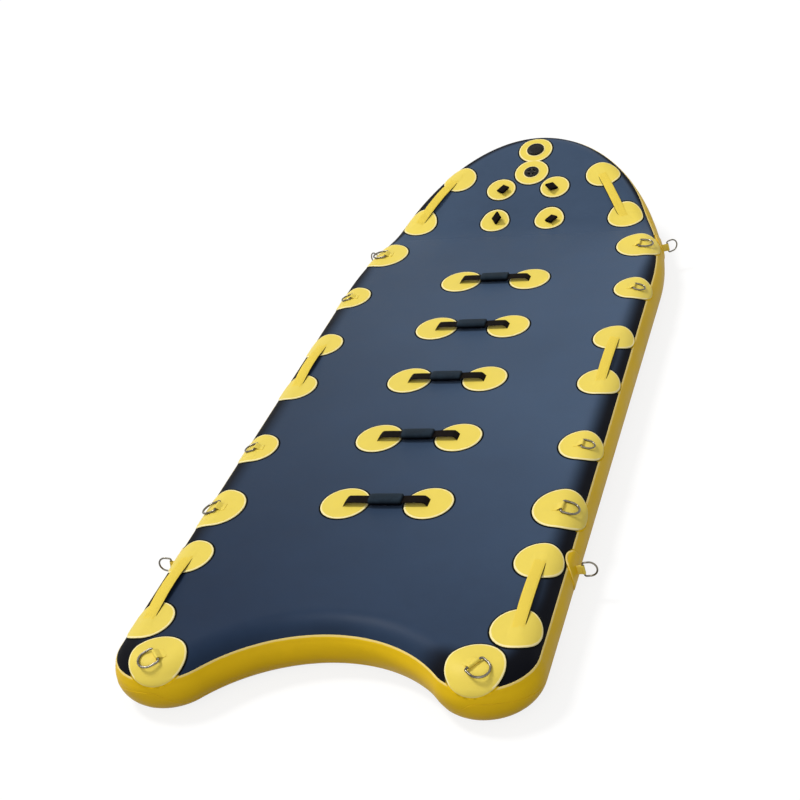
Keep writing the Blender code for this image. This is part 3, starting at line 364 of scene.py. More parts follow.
def half_outline(nose_steps, side_steps, horn_steps, notch_steps):
    """Points and outward normals of the right half, from the nose tip to the middle of the notch."""
    turn = np.linspace(0, math.pi / 2, nose_steps)
    nose = np.stack([HALF_WIDTH * np.sin(turn), SIDE_END + NOSE_LENGTH * np.cos(turn)], 1)
    nose_out = unit(np.stack([np.sin(turn) / HALF_WIDTH, np.cos(turn) / NOSE_LENGTH], 1))
    horn_x = HALF_WIDTH - HORN_RADIUS
    reach = (horn_x ** 2 + NOTCH_DEPTH ** 2) / (2 * NOTCH_DEPTH)
    notch_radius = reach - HORN_RADIUS
    notch_centre = np.array([0.0, NOTCH_DEPTH - notch_radius])
    horn_centre = np.array([horn_x, HORN_RADIUS])
    stops = np.linspace(SIDE_END, HORN_RADIUS, side_steps + 1)[1:-1]
    side = np.stack([np.full(len(stops), HALF_WIDTH), stops], 1)
    to_notch = notch_centre - horn_centre
    meeting = math.atan2(to_notch[1], to_notch[0])
    sweep = np.linspace(0, meeting, horn_steps + 1)
    horn_out = np.stack([np.cos(sweep), np.sin(sweep)], 1)
    back = np.linspace(meeting + math.pi, math.pi / 2, notch_steps + 1)[1:]
    notch_out = -np.stack([np.cos(back), np.sin(back)], 1)
    points = [nose, side, horn_centre + HORN_RADIUS * horn_out, notch_centre - notch_radius * notch_out]
    normals = [nose_out, np.tile([1.0, 0.0], (len(stops), 1)), horn_out, notch_out]
    return np.concatenate(points), np.concatenate(normals)


def both_halves(points, normals):
    """The closed outline: nose tip, right side, notch, left side."""
    flip = np.array([-1.0, 1.0])
    return (np.concatenate([points, points[-2:0:-1] * flip]),
            np.concatenate([normals, normals[-2:0:-1] * flip]))


FINE, FINE_OUT = both_halves(*half_outline(700, 500, 300, 300))
FEET = FINE - RAIL * FINE_OUT
FOOT_FINDER = KDTree(len(FEET))
for foot_number, foot_place in enumerate(FEET):
    FOOT_FINDER.insert((*foot_place, 0.0), foot_number)
FOOT_FINDER.balance()
STATIONS, STATION_OUT = both_halves(*half_outline(56, 20, 44, 30))
STATION_FEET = STATIONS - RAIL * STATION_OUT


# From plan to world

def bent(points):
    """Turns up what lies past the bend line, about the board's middle plane."""
    past = points[:, 1] - BEND_START
    turned_by = np.clip(past / BEND_LENGTH, 0, 1) * NOSE_LIFT
    beyond = np.maximum(past - BEND_LENGTH, 0)
    middle = BEND_LENGTH / NOSE_LIFT
    radius = middle - points[:, 2]
    s = BEND_START + radius * np.sin(turned_by) + beyond * np.cos(turned_by)
    z = middle - radius * np.cos(turned_by) + beyond * np.sin(turned_by)
    return np.stack([points[:, 0], np.where(past > 0, s, points[:, 1]), np.where(past > 0, z, points[:, 2])], 1)


def middle_of_length():
    """Half of the bent board's length over its tip, where the world's Y is 0."""
    turn = np.linspace(0, math.pi, 181)
    tip = np.stack([np.zeros(181), TIP - RAIL + RAIL * np.sin(turn), RAIL * np.cos(turn)], 1)
    return bent(tip)[:, 1].max() / 2


Y_MID = middle_of_length()


def to_world(points):
    """Flat-board points (x, s, height over the middle plane) on the bent board."""
    return bent(np.asarray(points, float)) + np.array([0, -Y_MID, RAIL])


def from_foot(plan):
    """The nearest place where the flat deck ends, the way out from it, and how far out the point is."""
    nearest = np.array([FOOT_FINDER.find((x, y, 0.0))[1] for x, y in plan])
    best = None
    for step in (-1, 1):
        other = (nearest + step) % len(FEET)
        along = FEET[other] - FEET[nearest]
        t = ((plan - FEET[nearest]) * along).sum(1) / (along ** 2).sum(1)
        t = np.clip(t, 0, 1)[:, None]
        foot = FEET[nearest] + t * along
        out_way = unit(FINE_OUT[nearest] * (1 - t) + FINE_OUT[other] * t)
        far = ((plan - foot) ** 2).sum(1)
        if best is None:
            best = [foot, out_way, far]
        else:
            nearer = far < best[2]
            best[0] = np.where(nearer[:, None], foot, best[0])
            best[1] = np.where(nearer[:, None], out_way, best[1])
    out = ((plan - best[0]) * best[1]).sum(1)
    return best[0], best[1], out


def smooth(t):
    """0 up to 0, 1 from 1 on, and an even curve between."""
    t = np.clip(t, 0.0, 1.0)
    return t * t * (3 - 2 * t)


def grows(value, start, over):
    """0 up to a start, and 1 from so much over it."""
    return smooth((value - start) / over)


def seam_at(feet):
    """How far round the rail the deck fabric goes before the sidewall's hem laps over it."""
    right = np.interp(feet[:, 1], SEAM_PLACES, SEAM_ANGLES)
    return SEAM_ELSEWHERE + (right - SEAM_ELSEWHERE) * grows(feet[:, 0], SEAM_RIGHT, 0.12)


def lap_rise(turn, feet):
    """How far the sidewall's top hem lifts what lies over it."""
    past = turn - seam_at(feet)
    (up_from, up_over), (down_from, down_over) = LAP_SLOPES
    return sizes().lap_height * (grows(past, up_from, up_over) - grows(past, down_from, down_over))


def crease(s):
    """The shallow grooves where the nose is folded up."""
    folds = (BEND_START, BEND_START + BEND_LENGTH)
    return CREASE_DEPTH * sum(np.exp(-((s - fold) / CREASE_WIDTH) ** 2) for fold in folds)


def lifted(plan, height, under=False, over_lap=True):
    """World points of plan points lifted off the board's surface, round its rail where they pass it."""
    plan = np.atleast_2d(np.asarray(plan, float))
    height = np.broadcast_to(np.asarray(height, float), len(plan))
    foot, out_way, out = from_foot(plan)
    turn = np.clip(out / RAIL, 0, math.pi)
    if not under:
        height = height - crease(plan[:, 1]) * (turn < DECK_WRAP)
        if over_lap:
            height = height + lap_rise(turn, foot)
    radius = RAIL + height
    on_rail = foot + out_way * (radius * np.sin(turn))[:, None]
    flat = np.where((out <= 0)[:, None], plan, on_rail)
    up = np.where(out <= 0, radius, radius * np.cos(turn))
    return to_world(np.column_stack([flat, -up if under else up]))


def half_width_at(s):
    """Half of the board's width at a place along its straight side or its nose."""
    if s <= SIDE_END:
        return HALF_WIDTH
    return HALF_WIDTH * math.sqrt(1 - ((s - SIDE_END) / NOSE_LENGTH) ** 2)


def frame_of(x_axis, y_axis, z_axis, origin):
    """A matrix of three axes and an origin."""
    made = Matrix([x_axis, y_axis, z_axis]).transposed().to_4x4()
    made.translation = origin
    return made


def surface_frame(plan, height, direction):
    """A frame over the surface: X along a plan direction, Y to its left, Z off the surface."""
    plan = np.array(plan, float)
    step = TINY * unit(np.array(direction, float))
    spots = [plan, plan + step, plan - step, plan]
    origin, ahead, behind, above = lifted(spots, [height, height, height, height + TINY], over_lap=False)
    x_axis = Vector(ahead - behind).normalized()
    z_axis = Vector(above - origin).normalized()
    return frame_of(x_axis, z_axis.cross(x_axis).normalized(), z_axis, Vector(origin))


def in_frame(points, matrix):
    """Points of a frame in the world."""
    m = np.array(matrix)
    return np.asarray(points, float) @ m[:3, :3].T + m[:3, 3]


# Shapes

class Shape:
    """Points, faces and painted masks of one piece, gathered part by part."""

    def __init__(self):
        self.points = []
        self.faces = []
        self.paint = []
        self.rims = []
        self.rails = []
        self.cloths = []
        self.count = 0

    def add(self, solid, paint=0, rim=0.0, rail=0.0, cloth=None):
        points = np.asarray(solid[0], float)
        number = len(points)
        first = self.count
        self.points.append(points)
        self.faces += [tuple(first + int(k) for k in face) for face in solid[1]]
        self.paint += [paint] * len(solid[1])
        self.rims.append(np.broadcast_to(rim, number))
        self.rails.append(np.broadcast_to(rail, number))
        self.cloths.append(np.zeros((number, 3)) if cloth is None else cloth)
        self.count += number

    def add_mesh(self, mesh, paint=0):
        points = np.empty(len(mesh.vertices) * 3)
        mesh.vertices.foreach_get("co", points)
        rail = np.zeros(len(mesh.vertices), np.float32)
        if "rail" in mesh.attributes:
            mesh.attributes["rail"].data.foreach_get("value", rail)
        self.add((points.reshape(-1, 3), [tuple(face.vertices) for face in mesh.polygons]), paint, rail=rail)

    def mesh(self, name, finishes, sharp=32):
        mesh = bpy.data.meshes.new(name)
        mesh.from_pydata(np.concatenate(self.points).tolist(), [], self.faces)
        for finish in finishes:
            mesh.materials.append(finish)
        mesh.polygons.foreach_set("material_index", self.paint)
        for mask, values in (("rim", self.rims), ("rail", self.rails)):
            layer = mesh.attributes.new(mask, "FLOAT", "POINT")
            layer.data.foreach_set("value", np.concatenate(values).astype(np.float32))
        layer = mesh.attributes.new("cloth", "FLOAT_VECTOR", "POINT")
        layer.data.foreach_set("vector", np.concatenate(self.cloths).astype(np.float32).ravel())
        turn_outwards(mesh)
        mesh.shade_smooth()
        mesh.set_sharp_from_angle(angle=math.radians(sharp))
        return mesh


def put_in_scene(name, data):
    """A new object of a mesh, a lamp or a camera."""
    made = bpy.data.objects.new(name, data)
    bpy.context.scene.collection.objects.link(made)
    return made


def turn_outwards(mesh):
    """Turns every face's front outwards."""
    work = bmesh.new()
    work.from_mesh(mesh)
    bmesh.ops.recalc_face_normals(work, faces=work.faces)
    work.to_mesh(mesh)
    work.free()


def circle(centre, radius, count):
    """Places round a circle, anticlockwise from +X."""
    turn = np.arange(count) * 2 * math.pi / count
    return np.array(centre) + radius * np.stack([np.cos(turn), np.sin(turn)], 1)


def round_edges(first, count):
    """The edges of a closed ring of points."""
    return [(first + i, first + (i + 1) % count) for i in range(count)]


def inside(polygon, points):
    """Which points lie inside a closed polygon."""
    start = polygon[None]
    end = np.roll(polygon, -1, axis=0)[None]
    x = points[:, None, 0]
    y = points[:, None, 1]
    crosses = (start[..., 1] > y) != (end[..., 1] > y)
    rise = np.where(end[..., 1] == start[..., 1], 1.0, end[..., 1] - start[..., 1])
    at = start[..., 0] + (y - start[..., 1]) * (end[..., 0] - start[..., 0]) / rise
    return (crosses & (x < at)).sum(1) % 2 == 1


def triangulate(points, edges):
    """Plan points and anticlockwise triangles that keep every edge."""
    found = delaunay_2d_cdt([Vector(p) for p in points], edges, [], 0, 1e-5)
    plan = np.array([tuple(point) for point in found[0]])
    triangles = np.array([tuple(face) for face in found[2]])
    a, b, c = (plan[triangles[:, corner]] for corner in range(3))
    area = (b - a)[:, 0] * (c - a)[:, 1] - (b - a)[:, 1] * (c - a)[:, 0]
    triangles[area < 0] = triangles[area < 0][:, ::-1]
    return plan, triangles


def doubled(triangles, count):
    """Faces of a closed sheet whose lower points follow the upper ones."""
    faces = [tuple(t) for t in triangles]
    faces += [tuple(count + k for k in reversed(t)) for t in triangles]
    single = {}
    for a, b, c in triangles:
        for edge in ((a, b), (b, c), (c, a)):
            if (edge[1], edge[0]) in single:
                del single[(edge[1], edge[0])]
            else:
                single[edge] = True
    faces += [(v, u, count + u, count + v) for u, v in single]
    return faces


def grid_faces(rows, sides, closed):
    """Faces between rings of points, from the last ring back to the first where that is closed."""
    faces = []
    for i in range(rows if closed else rows - 1):
        here = i * sides
        there = (i + 1) % rows * sides
        for j in range(sides):
            k = (j + 1) % sides
            faces.append((here + j, here + k, there + k, there + j))
    return faces


def swept(rings, closed=False):
    """A body through rings of points, one after the other, with flat ends or joined up."""
    count, sides = rings.shape[:2]
    faces = grid_faces(count, sides, closed)
    if not closed:
        faces.append(tuple(range(sides))[::-1])
        faces.append(tuple((count - 1) * sides + j for j in range(sides)))
    return rings.reshape(-1, 3), faces


def band_section(width, thickness):
    """A strap's cut end: across and height pairs, with rounded selvedges."""
    half = width / 2
    edge = thickness * SELVEDGE
    left = [(-half, 0.0), (-half + edge * 0.3, thickness * 0.35), (-half + edge, thickness / 2),
            (-half * 0.5, thickness / 2)]
    top = left + [(0.0, thickness / 2)] + [(-across, up) for across, up in reversed(left)]
    bottom = [(across, -up) for across, up in reversed(top[1:-1])]
    return np.array(top + bottom)


def left_of(path, closed):
    """The way to the left of a plane path at each of its points."""
    before = path - np.roll(path, 1, axis=0)
    after = np.roll(path, -1, axis=0) - path
    if not closed:
        before[0] = after[0]
        after[-1] = before[-1]
    tangent = unit(unit(before) + unit(after))
    return np.stack([-tangent[:, 1], tangent[:, 0]], 1)


def folded_band(shape, path, width, matrix, paint=0, closed=False):
    """Adds fabric that follows a path in the frame's X and Z and is as wide along its Y."""
    path = np.asarray(path, float)
    normal = left_of(path, closed)
    section = band_section(width, FABRIC)
    rings = np.zeros((len(path), len(section), 3))
    rings[:, :, 0] = path[:, None, 0] + normal[:, None, 0] * section[None, :, 1]
    rings[:, :, 1] = section[None, :, 0]
    rings[:, :, 2] = path[:, None, 1] + normal[:, None, 1] * section[None, :, 1]
    run = np.concatenate([[0], np.cumsum(np.linalg.norm(np.diff(path, axis=0), axis=1))])
    cloth = np.zeros_like(rings)
    cloth[:, :, 0] = run[:, None]
    cloth[:, :, 1] = section[None, :, 0]
    points, faces = swept(rings, closed)
    shape.add((in_frame(points, matrix), faces), paint=paint, cloth=cloth.reshape(-1, 3))


def arc(centre, radius, first, last, steps):
    """Pairs along a circle, from one angle in degrees to another."""
    turn = np.radians(np.linspace(first, last, steps))
    return [(centre[0] + radius * math.cos(a), centre[1] + radius * math.sin(a)) for a in turn]


def turned(profile, matrix):
    """A profile of (radius, height) turned about the frame's Z."""
    sides = TURNED_SIDES
    points = []
    rows = []
    for radius, height in profile:
        if radius == 0:
            rows.append([len(points)] * sides)
            points.append((0, 0, height))
            continue
        rows.append([len(points) + j for j in range(sides)])
        points += [(x, y, height) for x, y in circle((0, 0), radius, sides)]
    faces = []
    last = len(rows) - (1 if profile[0][0] == 0 else 0)
    for i in range(last):
        here = rows[i]
        there = rows[(i + 1) % len(rows)]
        for j in range(sides):
            k = (j + 1) % sides
            face = tuple(dict.fromkeys([here[j], here[k], there[k], there[j]]))
            if len(face) > 2:
                faces.append(face)
    return in_frame(points, matrix), faces


def past_seam(plan):
    """0 over the deck and 1 over the sidewall."""
    foot, _, out = from_foot(plan)
    return grows(out / RAIL - seam_at(foot), *WALL_FROM)


def patch_disc(shape, centre, radius, base=GAP, thickness=PATCH, joins=(), hole=0.0, bump=None, longer=1.0):
    """A welded fabric disc with a bevelled cut edge and a line of adhesive round it."""
    s = sizes()
    bevel = s.patch_bevel
    sides = s.patch_sides

    def oval(rings):
        return np.concatenate([circle((0, 0), r, sides) for r in rings]) * (1.0, longer) + np.array(centre)

    flat = np.linspace(hole, radius - s.rim_width, FLAT_ROWS - bool(hole))[0 if hole else 1:]
    rows = [(r, 0.0) for r in (*flat, radius - bevel)]
    rows += [(radius - bevel * inwards, drop) for inwards, drop in BEVEL_ROWS]
    rows += [(radius, 1.0), (radius - UNDER_STEP, 1.0), (max(hole, radius / 2), 1.0)]
    radii, drops = np.array(rows).T
    plan = oval(radii)
    drop = np.repeat(drops, sides)
    inward = radius - np.linalg.norm((plan - np.array(centre)) / (1.0, longer), axis=1)
    for other, other_radius in joins:
        inward = np.maximum(inward, other_radius - np.linalg.norm(plan - np.array(other), axis=1))
    top = drop < 0.9
    drop = np.where(top & (inward > bevel), 0.0, drop)
    height = base + thickness * (1 - drop)
    if bump is not None:
        height = height + np.where(top, bump(plan), 0.0)
    on_wall = past_seam(plan)
    rim = np.where(top, np.clip(1 - inward / s.rim_width, 0, 1) * (1 - WALL_DULLS * on_wall), 0.0)
    faces = [(a, d, c, b) for a, b, c, d in grid_faces(len(radii), sides, bool(hole))]
    if not hole:
        count = len(plan)
        plan = np.concatenate([plan, [centre, centre]])
        middle_height = base + thickness + (bump(np.array([centre]))[0] if bump is not None else 0.0)
        height = np.concatenate([height, [middle_height, base]])
        rim = np.concatenate([rim, [0.0, 0.0]])
        last = count - sides
        faces += [(count, j, (j + 1) % sides) for j in range(sides)]
        faces += [(count + 1, last + (j + 1) % sides, last + j) for j in range(sides)]
    shape.add((lifted(plan, height), faces), rim=rim)
    levels = (base + 2 * GLUE_LEVEL, base + GLUE_LEVEL, -GLUE_LEVEL, -GLUE_LEVEL)
    plan = oval([radius + w for w in (-GLUE_LAP, s.glue_width, s.glue_width, -GLUE_LAP)])
    line = lifted(plan, np.repeat(levels, sides)).reshape(len(levels), sides, 3)
    shape.add(swept(line, closed=True), paint=1, rail=past_seam(plan))


def deck_strap(shape, start, end, rise, steps, paint, width=STRAP_WIDTH):
    """A strap between two plan points at the height that rise() gives, from 0 to 1 along it."""
    start = np.array(start, float)
    along = np.array(end, float) - start
    length = np.linalg.norm(along)
    side = np.array([-along[1], along[0]]) / length
    section = band_section(width, WEBBING)
    plan = []
    height = []
    cloth = []
    for u in steps:
        for across, up in section:
            plan.append(start + u * along + side * across)
            height.append(rise(u) + up)
            cloth.append((u * length, across, 0))
    rings = lifted(plan, height, over_lap=False).reshape(len(steps), len(section), 3)
    shape.add(swept(rings), paint=paint, cloth=np.array(cloth))


def slit(shape, place, paint):
    """The cut along a patch where a strap comes up through it: a dark box on the patch, painted as the shade in the
    cut.
    """
    half = sizes().slit_length / 2
    rings = []
    for beside in np.linspace(-half, half, 9):
        bulge = math.sqrt(max(0.0, 1 - (beside / half) ** 2))
        taper = sizes().slit_width / 2 * (SLIT_ENDS + (1 - SLIT_ENDS) * bulge)
        ends = [(-taper, SLIT_TOP), (taper, SLIT_TOP), (taper, SLIT_FLOOR), (-taper, SLIT_FLOOR)]
        plan = [(place[0] + across, place[1] + beside) for across, _ in ends]
        rings.append(lifted(plan, [PATCH_TOP + up for _, up in ends], over_lap=False))
    shape.add(swept(np.array(rings)), paint=paint)


# Shader nodes

class Wiring:
    """Short calls that add nodes to a tree and link them."""

    def __init__(self, tree):
        self.tree = tree

    def add(self, kind, values=None, **settings):
        node = self.tree.nodes.new(kind)
        for key, value in settings.items():
            setattr(node, key, value)
        for key, value in (values or {}).items():
            self.put(node.inputs[key], value)
        return node

    def put(self, socket, value):
        if isinstance(value, bpy.types.NodeSocket):
            self.tree.links.new(value, socket)
        else:
            socket.default_value = value

    def maths(self, operation, first, second=0.0, third=0.0, clamp=False):
        node = self.add("ShaderNodeMath", operation=operation, use_clamp=clamp)
        for place, value in enumerate((first, second, third)):
            self.put(node.inputs[place], value)
        return node.outputs[0]

    def scaled(self, colour, tone):
        return self.add("ShaderNodeVectorMath", {0: colour, "Scale": tone}, operation="SCALE").outputs[0]

    def blend(self, factor, first, second):
        node = self.add("ShaderNodeMix", data_type="RGBA")
        self.put(node.inputs[0], factor)
        self.put(node.inputs[6], first)
        self.put(node.inputs[7], second)
        return node.outputs[2]

    def span(self, value, low, high, to_low=0.0, to_high=1.0):
        node = self.add("ShaderNodeMapRange", {"Value": value, "From Min": low, "From Max": high})
        self.put(node.inputs["To Min"], to_low)
        self.put(node.inputs["To Max"], to_high)
        return node.outputs["Result"]

    def spread(self, noise, low, high):
        """Carries a noise, most of which lies between 0.3 and 0.7, to a wider range."""
        return self.span(noise, 0.3, 0.7, low, high)

    def noise(self, place, scale, detail=2.0, roughness=0.5):
        values = {"Vector": place, "Scale": scale, "Detail": detail, "Roughness": roughness}
        return self.add("ShaderNodeTexNoise", values).outputs["Fac"]


def new_nodes(name, kind, inputs, outputs):
    """An empty node group with its sockets; returns its wiring, its input and its output node."""
    tree = bpy.data.node_groups.new(name, kind)
    for way, sockets in (("INPUT", inputs), ("OUTPUT", outputs)):
        for label, socket in sockets.items():
            tree.interface.new_socket(label, in_out=way, socket_type=f"NodeSocket{socket}")
    w = Wiring(tree)
    return w, w.add("NodeGroupInput").outputs, w.add("NodeGroupOutput").inputs


def new_group(name, inputs, outputs):
    """A shader group that takes a place and a colour, and gives a colour."""
    return new_nodes(name, "ShaderNodeTree", {"Place": "Vector", "Colour": "Color", **dict.fromkeys(inputs, "Float")},
                     {"Colour": "Color", **dict.fromkeys(outputs, "Float")})


def coated_cloth_group():
    """Coated fabric: cloudy tone, fine pebble grain over a faint weave, and rubbed spots."""
    w, given, made = new_group("coated_cloth", ["Cloud", "Base Roughness"], ["Roughness", "Height"])
    clouds = w.noise(given["Place"], 2.6, 3.0)
    streaks = w.noise(given["Place"], 14.0, 4.0, 0.6)
    grain = w.noise(given["Place"], GRAIN_SCALE, 1.0)
    ribs = w.add("ShaderNodeVectorMath", {0: given["Place"], 1: (WEAVE_SCALE,) * 3}, operation="MULTIPLY")
    split = w.add("ShaderNodeSeparateXYZ", {0: ribs.outputs[0]}).outputs
    weave = w.maths("MULTIPLY", w.maths("SINE", split[0]), w.maths("SINE", w.maths("ADD", split[1], split[2])))
    tone = w.maths("ADD", w.spread(clouds, -0.6, 0.6), w.spread(streaks, -0.4, 0.4))
    w.put(made["Colour"], w.scaled(given["Colour"], w.maths("MULTIPLY_ADD", tone, given["Cloud"], 1.0)))
    rough = w.maths("ADD", given["Base Roughness"], w.spread(streaks, -0.05, 0.05))
    w.put(made["Roughness"], rough)
    w.put(made["Height"], w.maths("ADD", grain, w.maths("MULTIPLY", weave, 0.25)))
    return w.tree


def cut_edge_group():
    """How pale the cut edge of a patch is, uneven along its length, from the piece's rim mask."""
    w, given, made = new_nodes("cut_edge", "ShaderNodeTree", {"Place": "Vector", "Rim": "Float", "Amount": "Float"},
                               {"Edge": "Float"})
    uneven = w.noise(given["Place"], 55.0, 2.0)
    edge = w.maths("MULTIPLY", given["Rim"], w.spread(uneven, 0.7, 1.3))
    w.put(made["Edge"], w.maths("MULTIPLY", w.span(edge, 0.10, 0.42), given["Amount"]))
    return w.tree


def webbing_group():
    """Flat-woven webbing from its cloth places: length and width in metres."""
    w, given, made = new_group("webbing_weave", ["Pitch"], ["Height"])
    split = w.add("ShaderNodeSeparateXYZ", {0: given["Place"]}).outputs
    turns = w.maths("DIVIDE", math.tau, given["Pitch"])
    along = w.maths("SINE", w.maths("MULTIPLY", split[0], turns))
    over = w.maths("MULTIPLY", split[1], turns)
    shift = w.maths("MULTIPLY", w.maths("SIGN", along), HALF_STEP)
    across = w.maths("SINE", w.maths("ADD", over, shift))
    height = w.maths("ADD", w.maths("MULTIPLY", w.maths("ABSOLUTE", along), 0.5), w.maths("MULTIPLY", across, 0.35))
    fuzz = w.noise(given["Place"], 420.0, 3.0)
    tone = w.span(w.maths("ADD", height, fuzz), -0.2, 1.4, 0.72, 1.25)
    w.put(made["Colour"], w.scaled(given["Colour"], tone))
    w.put(made["Height"], height)
    return w.tree


def handling_group():
    """Scuffs and dust from handling, as a tone and a roughness, for hard parts."""
    w, given, made = new_group("handling_marks", ["Scale", "Depth", "Base Roughness"], ["Roughness", "Height"])
    dull = w.noise(given["Place"], given["Scale"], 4.0, 0.6)
    fine = w.noise(given["Place"], w.maths("MULTIPLY", given["Scale"], 30.0), 2.0)
    tone = w.maths("MULTIPLY_ADD", w.spread(dull, -1.0, 1.0), given["Depth"], 1.0)
    w.put(made["Colour"], w.scaled(given["Colour"], tone))
    rough = w.maths("ADD", given["Base Roughness"], w.spread(dull, -0.08, 0.12), clamp=True)
    w.put(made["Roughness"], rough)
    w.put(made["Height"], fine)
    return w.tree


def nodes_named(name):
    """The node group of that name, made when it is first asked for."""
    makers = {"coated_cloth": coated_cloth_group, "cut_edge": cut_edge_group,
              "webbing_weave": webbing_group, "handling_marks": handling_group, "stitches": stitches_tree,
              "drop_threads": drop_threads_tree, "repeat_along": repeat_tree, "ring_of_teeth": ring_of_teeth_tree}
    return bpy.data.node_groups.get(name) or makers[name]()


def use_group(w, name, values):
    """A shader group in this tree, with its values put in; returns its outputs."""
    node = w.add("ShaderNodeGroup", node_tree=nodes_named(name))
    for key, value in values.items():
        w.put(node.inputs[key], value)
    return node.outputs


def start_finish(name, **settings):
    """A new material; returns its wiring and its Principled shader with plain settings in its own sockets."""
    material = bpy.data.materials.new(f"{name}_finish")
    material.use_nodes = True
    w = Wiring(material.node_tree)
    shader = material.node_tree.nodes["Principled BSDF"]
    for key, value in settings.items():
        shader.inputs[key.replace("_", " ")].default_value = value
    return material, w, shader


def object_place(w):
    """The place on the object, which stays with it when it moves."""
    return w.add("ShaderNodeTexCoord").outputs["Object"]


def mask(w, name, output="Fac"):
    """A mask that a piece's mesh carries."""
    return w.add("ShaderNodeAttribute", attribute_name=name).outputs[output]


def relief(w, shader, height, distance):
    """A bump on the shader from a height."""
    bump = w.add("ShaderNodeBump", {"Height": height, "Distance": distance, "Strength": 1.0})
    w.put(shader.inputs["Normal"], bump.outputs["Normal"])


def rgba(colour):
    return (*colour, 1.0)


def deck_finish():
    """Navy coated fabric with painted shade and light: darker towards the tail and the left, near black where it rolls
    over the rail.
    """
    c = colours()
    material, w, shader = start_finish("navy_coated_fabric", Specular_IOR_Level=0.05)
    place = object_place(w)
    roll = mask(w, "rail")
    # Painted shade: darker along the slant towards the tail's left corner
    slant = w.add("ShaderNodeVectorMath", {0: place, 1: (1.0, 1.0, 0.0)}, operation="DOT_PRODUCT").outputs["Value"]
    navy = w.blend(w.span(slant, *TAIL_SHADE), rgba(c.deck_tail_shade), rgba(c.deck))
    # Painted light and shade: lighter to the right and darker to the left, across the deck at places along it
    split = w.add("ShaderNodeSeparateXYZ", {0: place}).outputs
    tilt = w.maths("MULTIPLY", w.span(split["Y"], *TILT_GROWS), w.span(split["Y"], *TILT_ENDS))
    navy = w.scaled(navy, w.maths("MULTIPLY_ADD", split["X"], tilt, TILT_MIDDLE))
    # Painted shade: near black where the rail mask says the fabric rolls over the rail
    navy = w.blend(roll, navy, rgba(c.deck_rail_shade))
    cloth = use_group(w, "coated_cloth", {"Place": place, "Colour": navy, "Cloud": 0.10, "Base Roughness": 0.42})
    w.put(shader.inputs["Base Color"], cloth["Colour"])
    w.put(shader.inputs["Roughness"], w.maths("MULTIPLY_ADD", roll, DULLER_ROLL, cloth["Roughness"]))
    relief(w, shader, cloth["Height"], CLOTH_RELIEF)
    return material


def yellow_finish(name, colour, edge_amount, cloud, roughness, shine):
    """Yellow coated fabric with a pale cut edge, painted darker as shade where its rail mask says so."""
    material, w, shader = start_finish(name, Specular_IOR_Level=shine)
    place = object_place(w)
    wall_shade = w.blend(w.maths("MULTIPLY", mask(w, "rail"), WALL_SHADE_SHARE), rgba(colour), rgba(colours().shaded_yellow))
    cloth = use_group(w, "coated_cloth", {"Place": place, "Colour": wall_shade, "Cloud": cloud,
                                          "Base Roughness": roughness})
    edge = use_group(w, "cut_edge", {"Place": place, "Rim": mask(w, "rim"), "Amount": edge_amount})["Edge"]
    w.put(shader.inputs["Base Color"], w.blend(edge, cloth["Colour"], rgba(colours().cut_edge)))
    w.put(shader.inputs["Roughness"], cloth["Roughness"])
    relief(w, shader, cloth["Height"], CLOTH_RELIEF)
    return material


def webbing_finish(name, colour, pitch, roughness):
    """Woven webbing, yarn or thread."""
    material, w, shader = start_finish(name, Roughness=roughness, Specular_IOR_Level=0.02)
    weave = use_group(w, "webbing_weave", {"Place": mask(w, "cloth", "Vector"), "Colour": rgba(colour), "Pitch": pitch})
    w.put(shader.inputs["Base Color"], weave["Colour"])
    relief(w, shader, weave["Height"], WEBBING_RELIEF)
    return material


def hard_finish(name, colour, scale, depth, roughness, distance=0.0, masked_colour=None, **settings):
    """Marks from handling, relief where it has any, and another colour where the piece's mask says so."""
    material, w, shader = start_finish(name, **settings)
    # The masked colour is painted sheen on the grips, painted highlight on the valves, and the wall's yellow where
    # adhesive lies over the wall
    shade = w.blend(mask(w, "rail"), rgba(colour), rgba(masked_colour)) if masked_colour else rgba(colour)
    marks = use_group(w, "handling_marks", {"Place": object_place(w), "Colour": shade, "Scale": scale,
                                            "Depth": depth, "Base Roughness": roughness})
    w.put(shader.inputs["Base Color"], marks["Colour"])
    w.put(shader.inputs["Roughness"], marks["Roughness"])
    if distance:
        relief(w, shader, marks["Height"], distance)
    return material


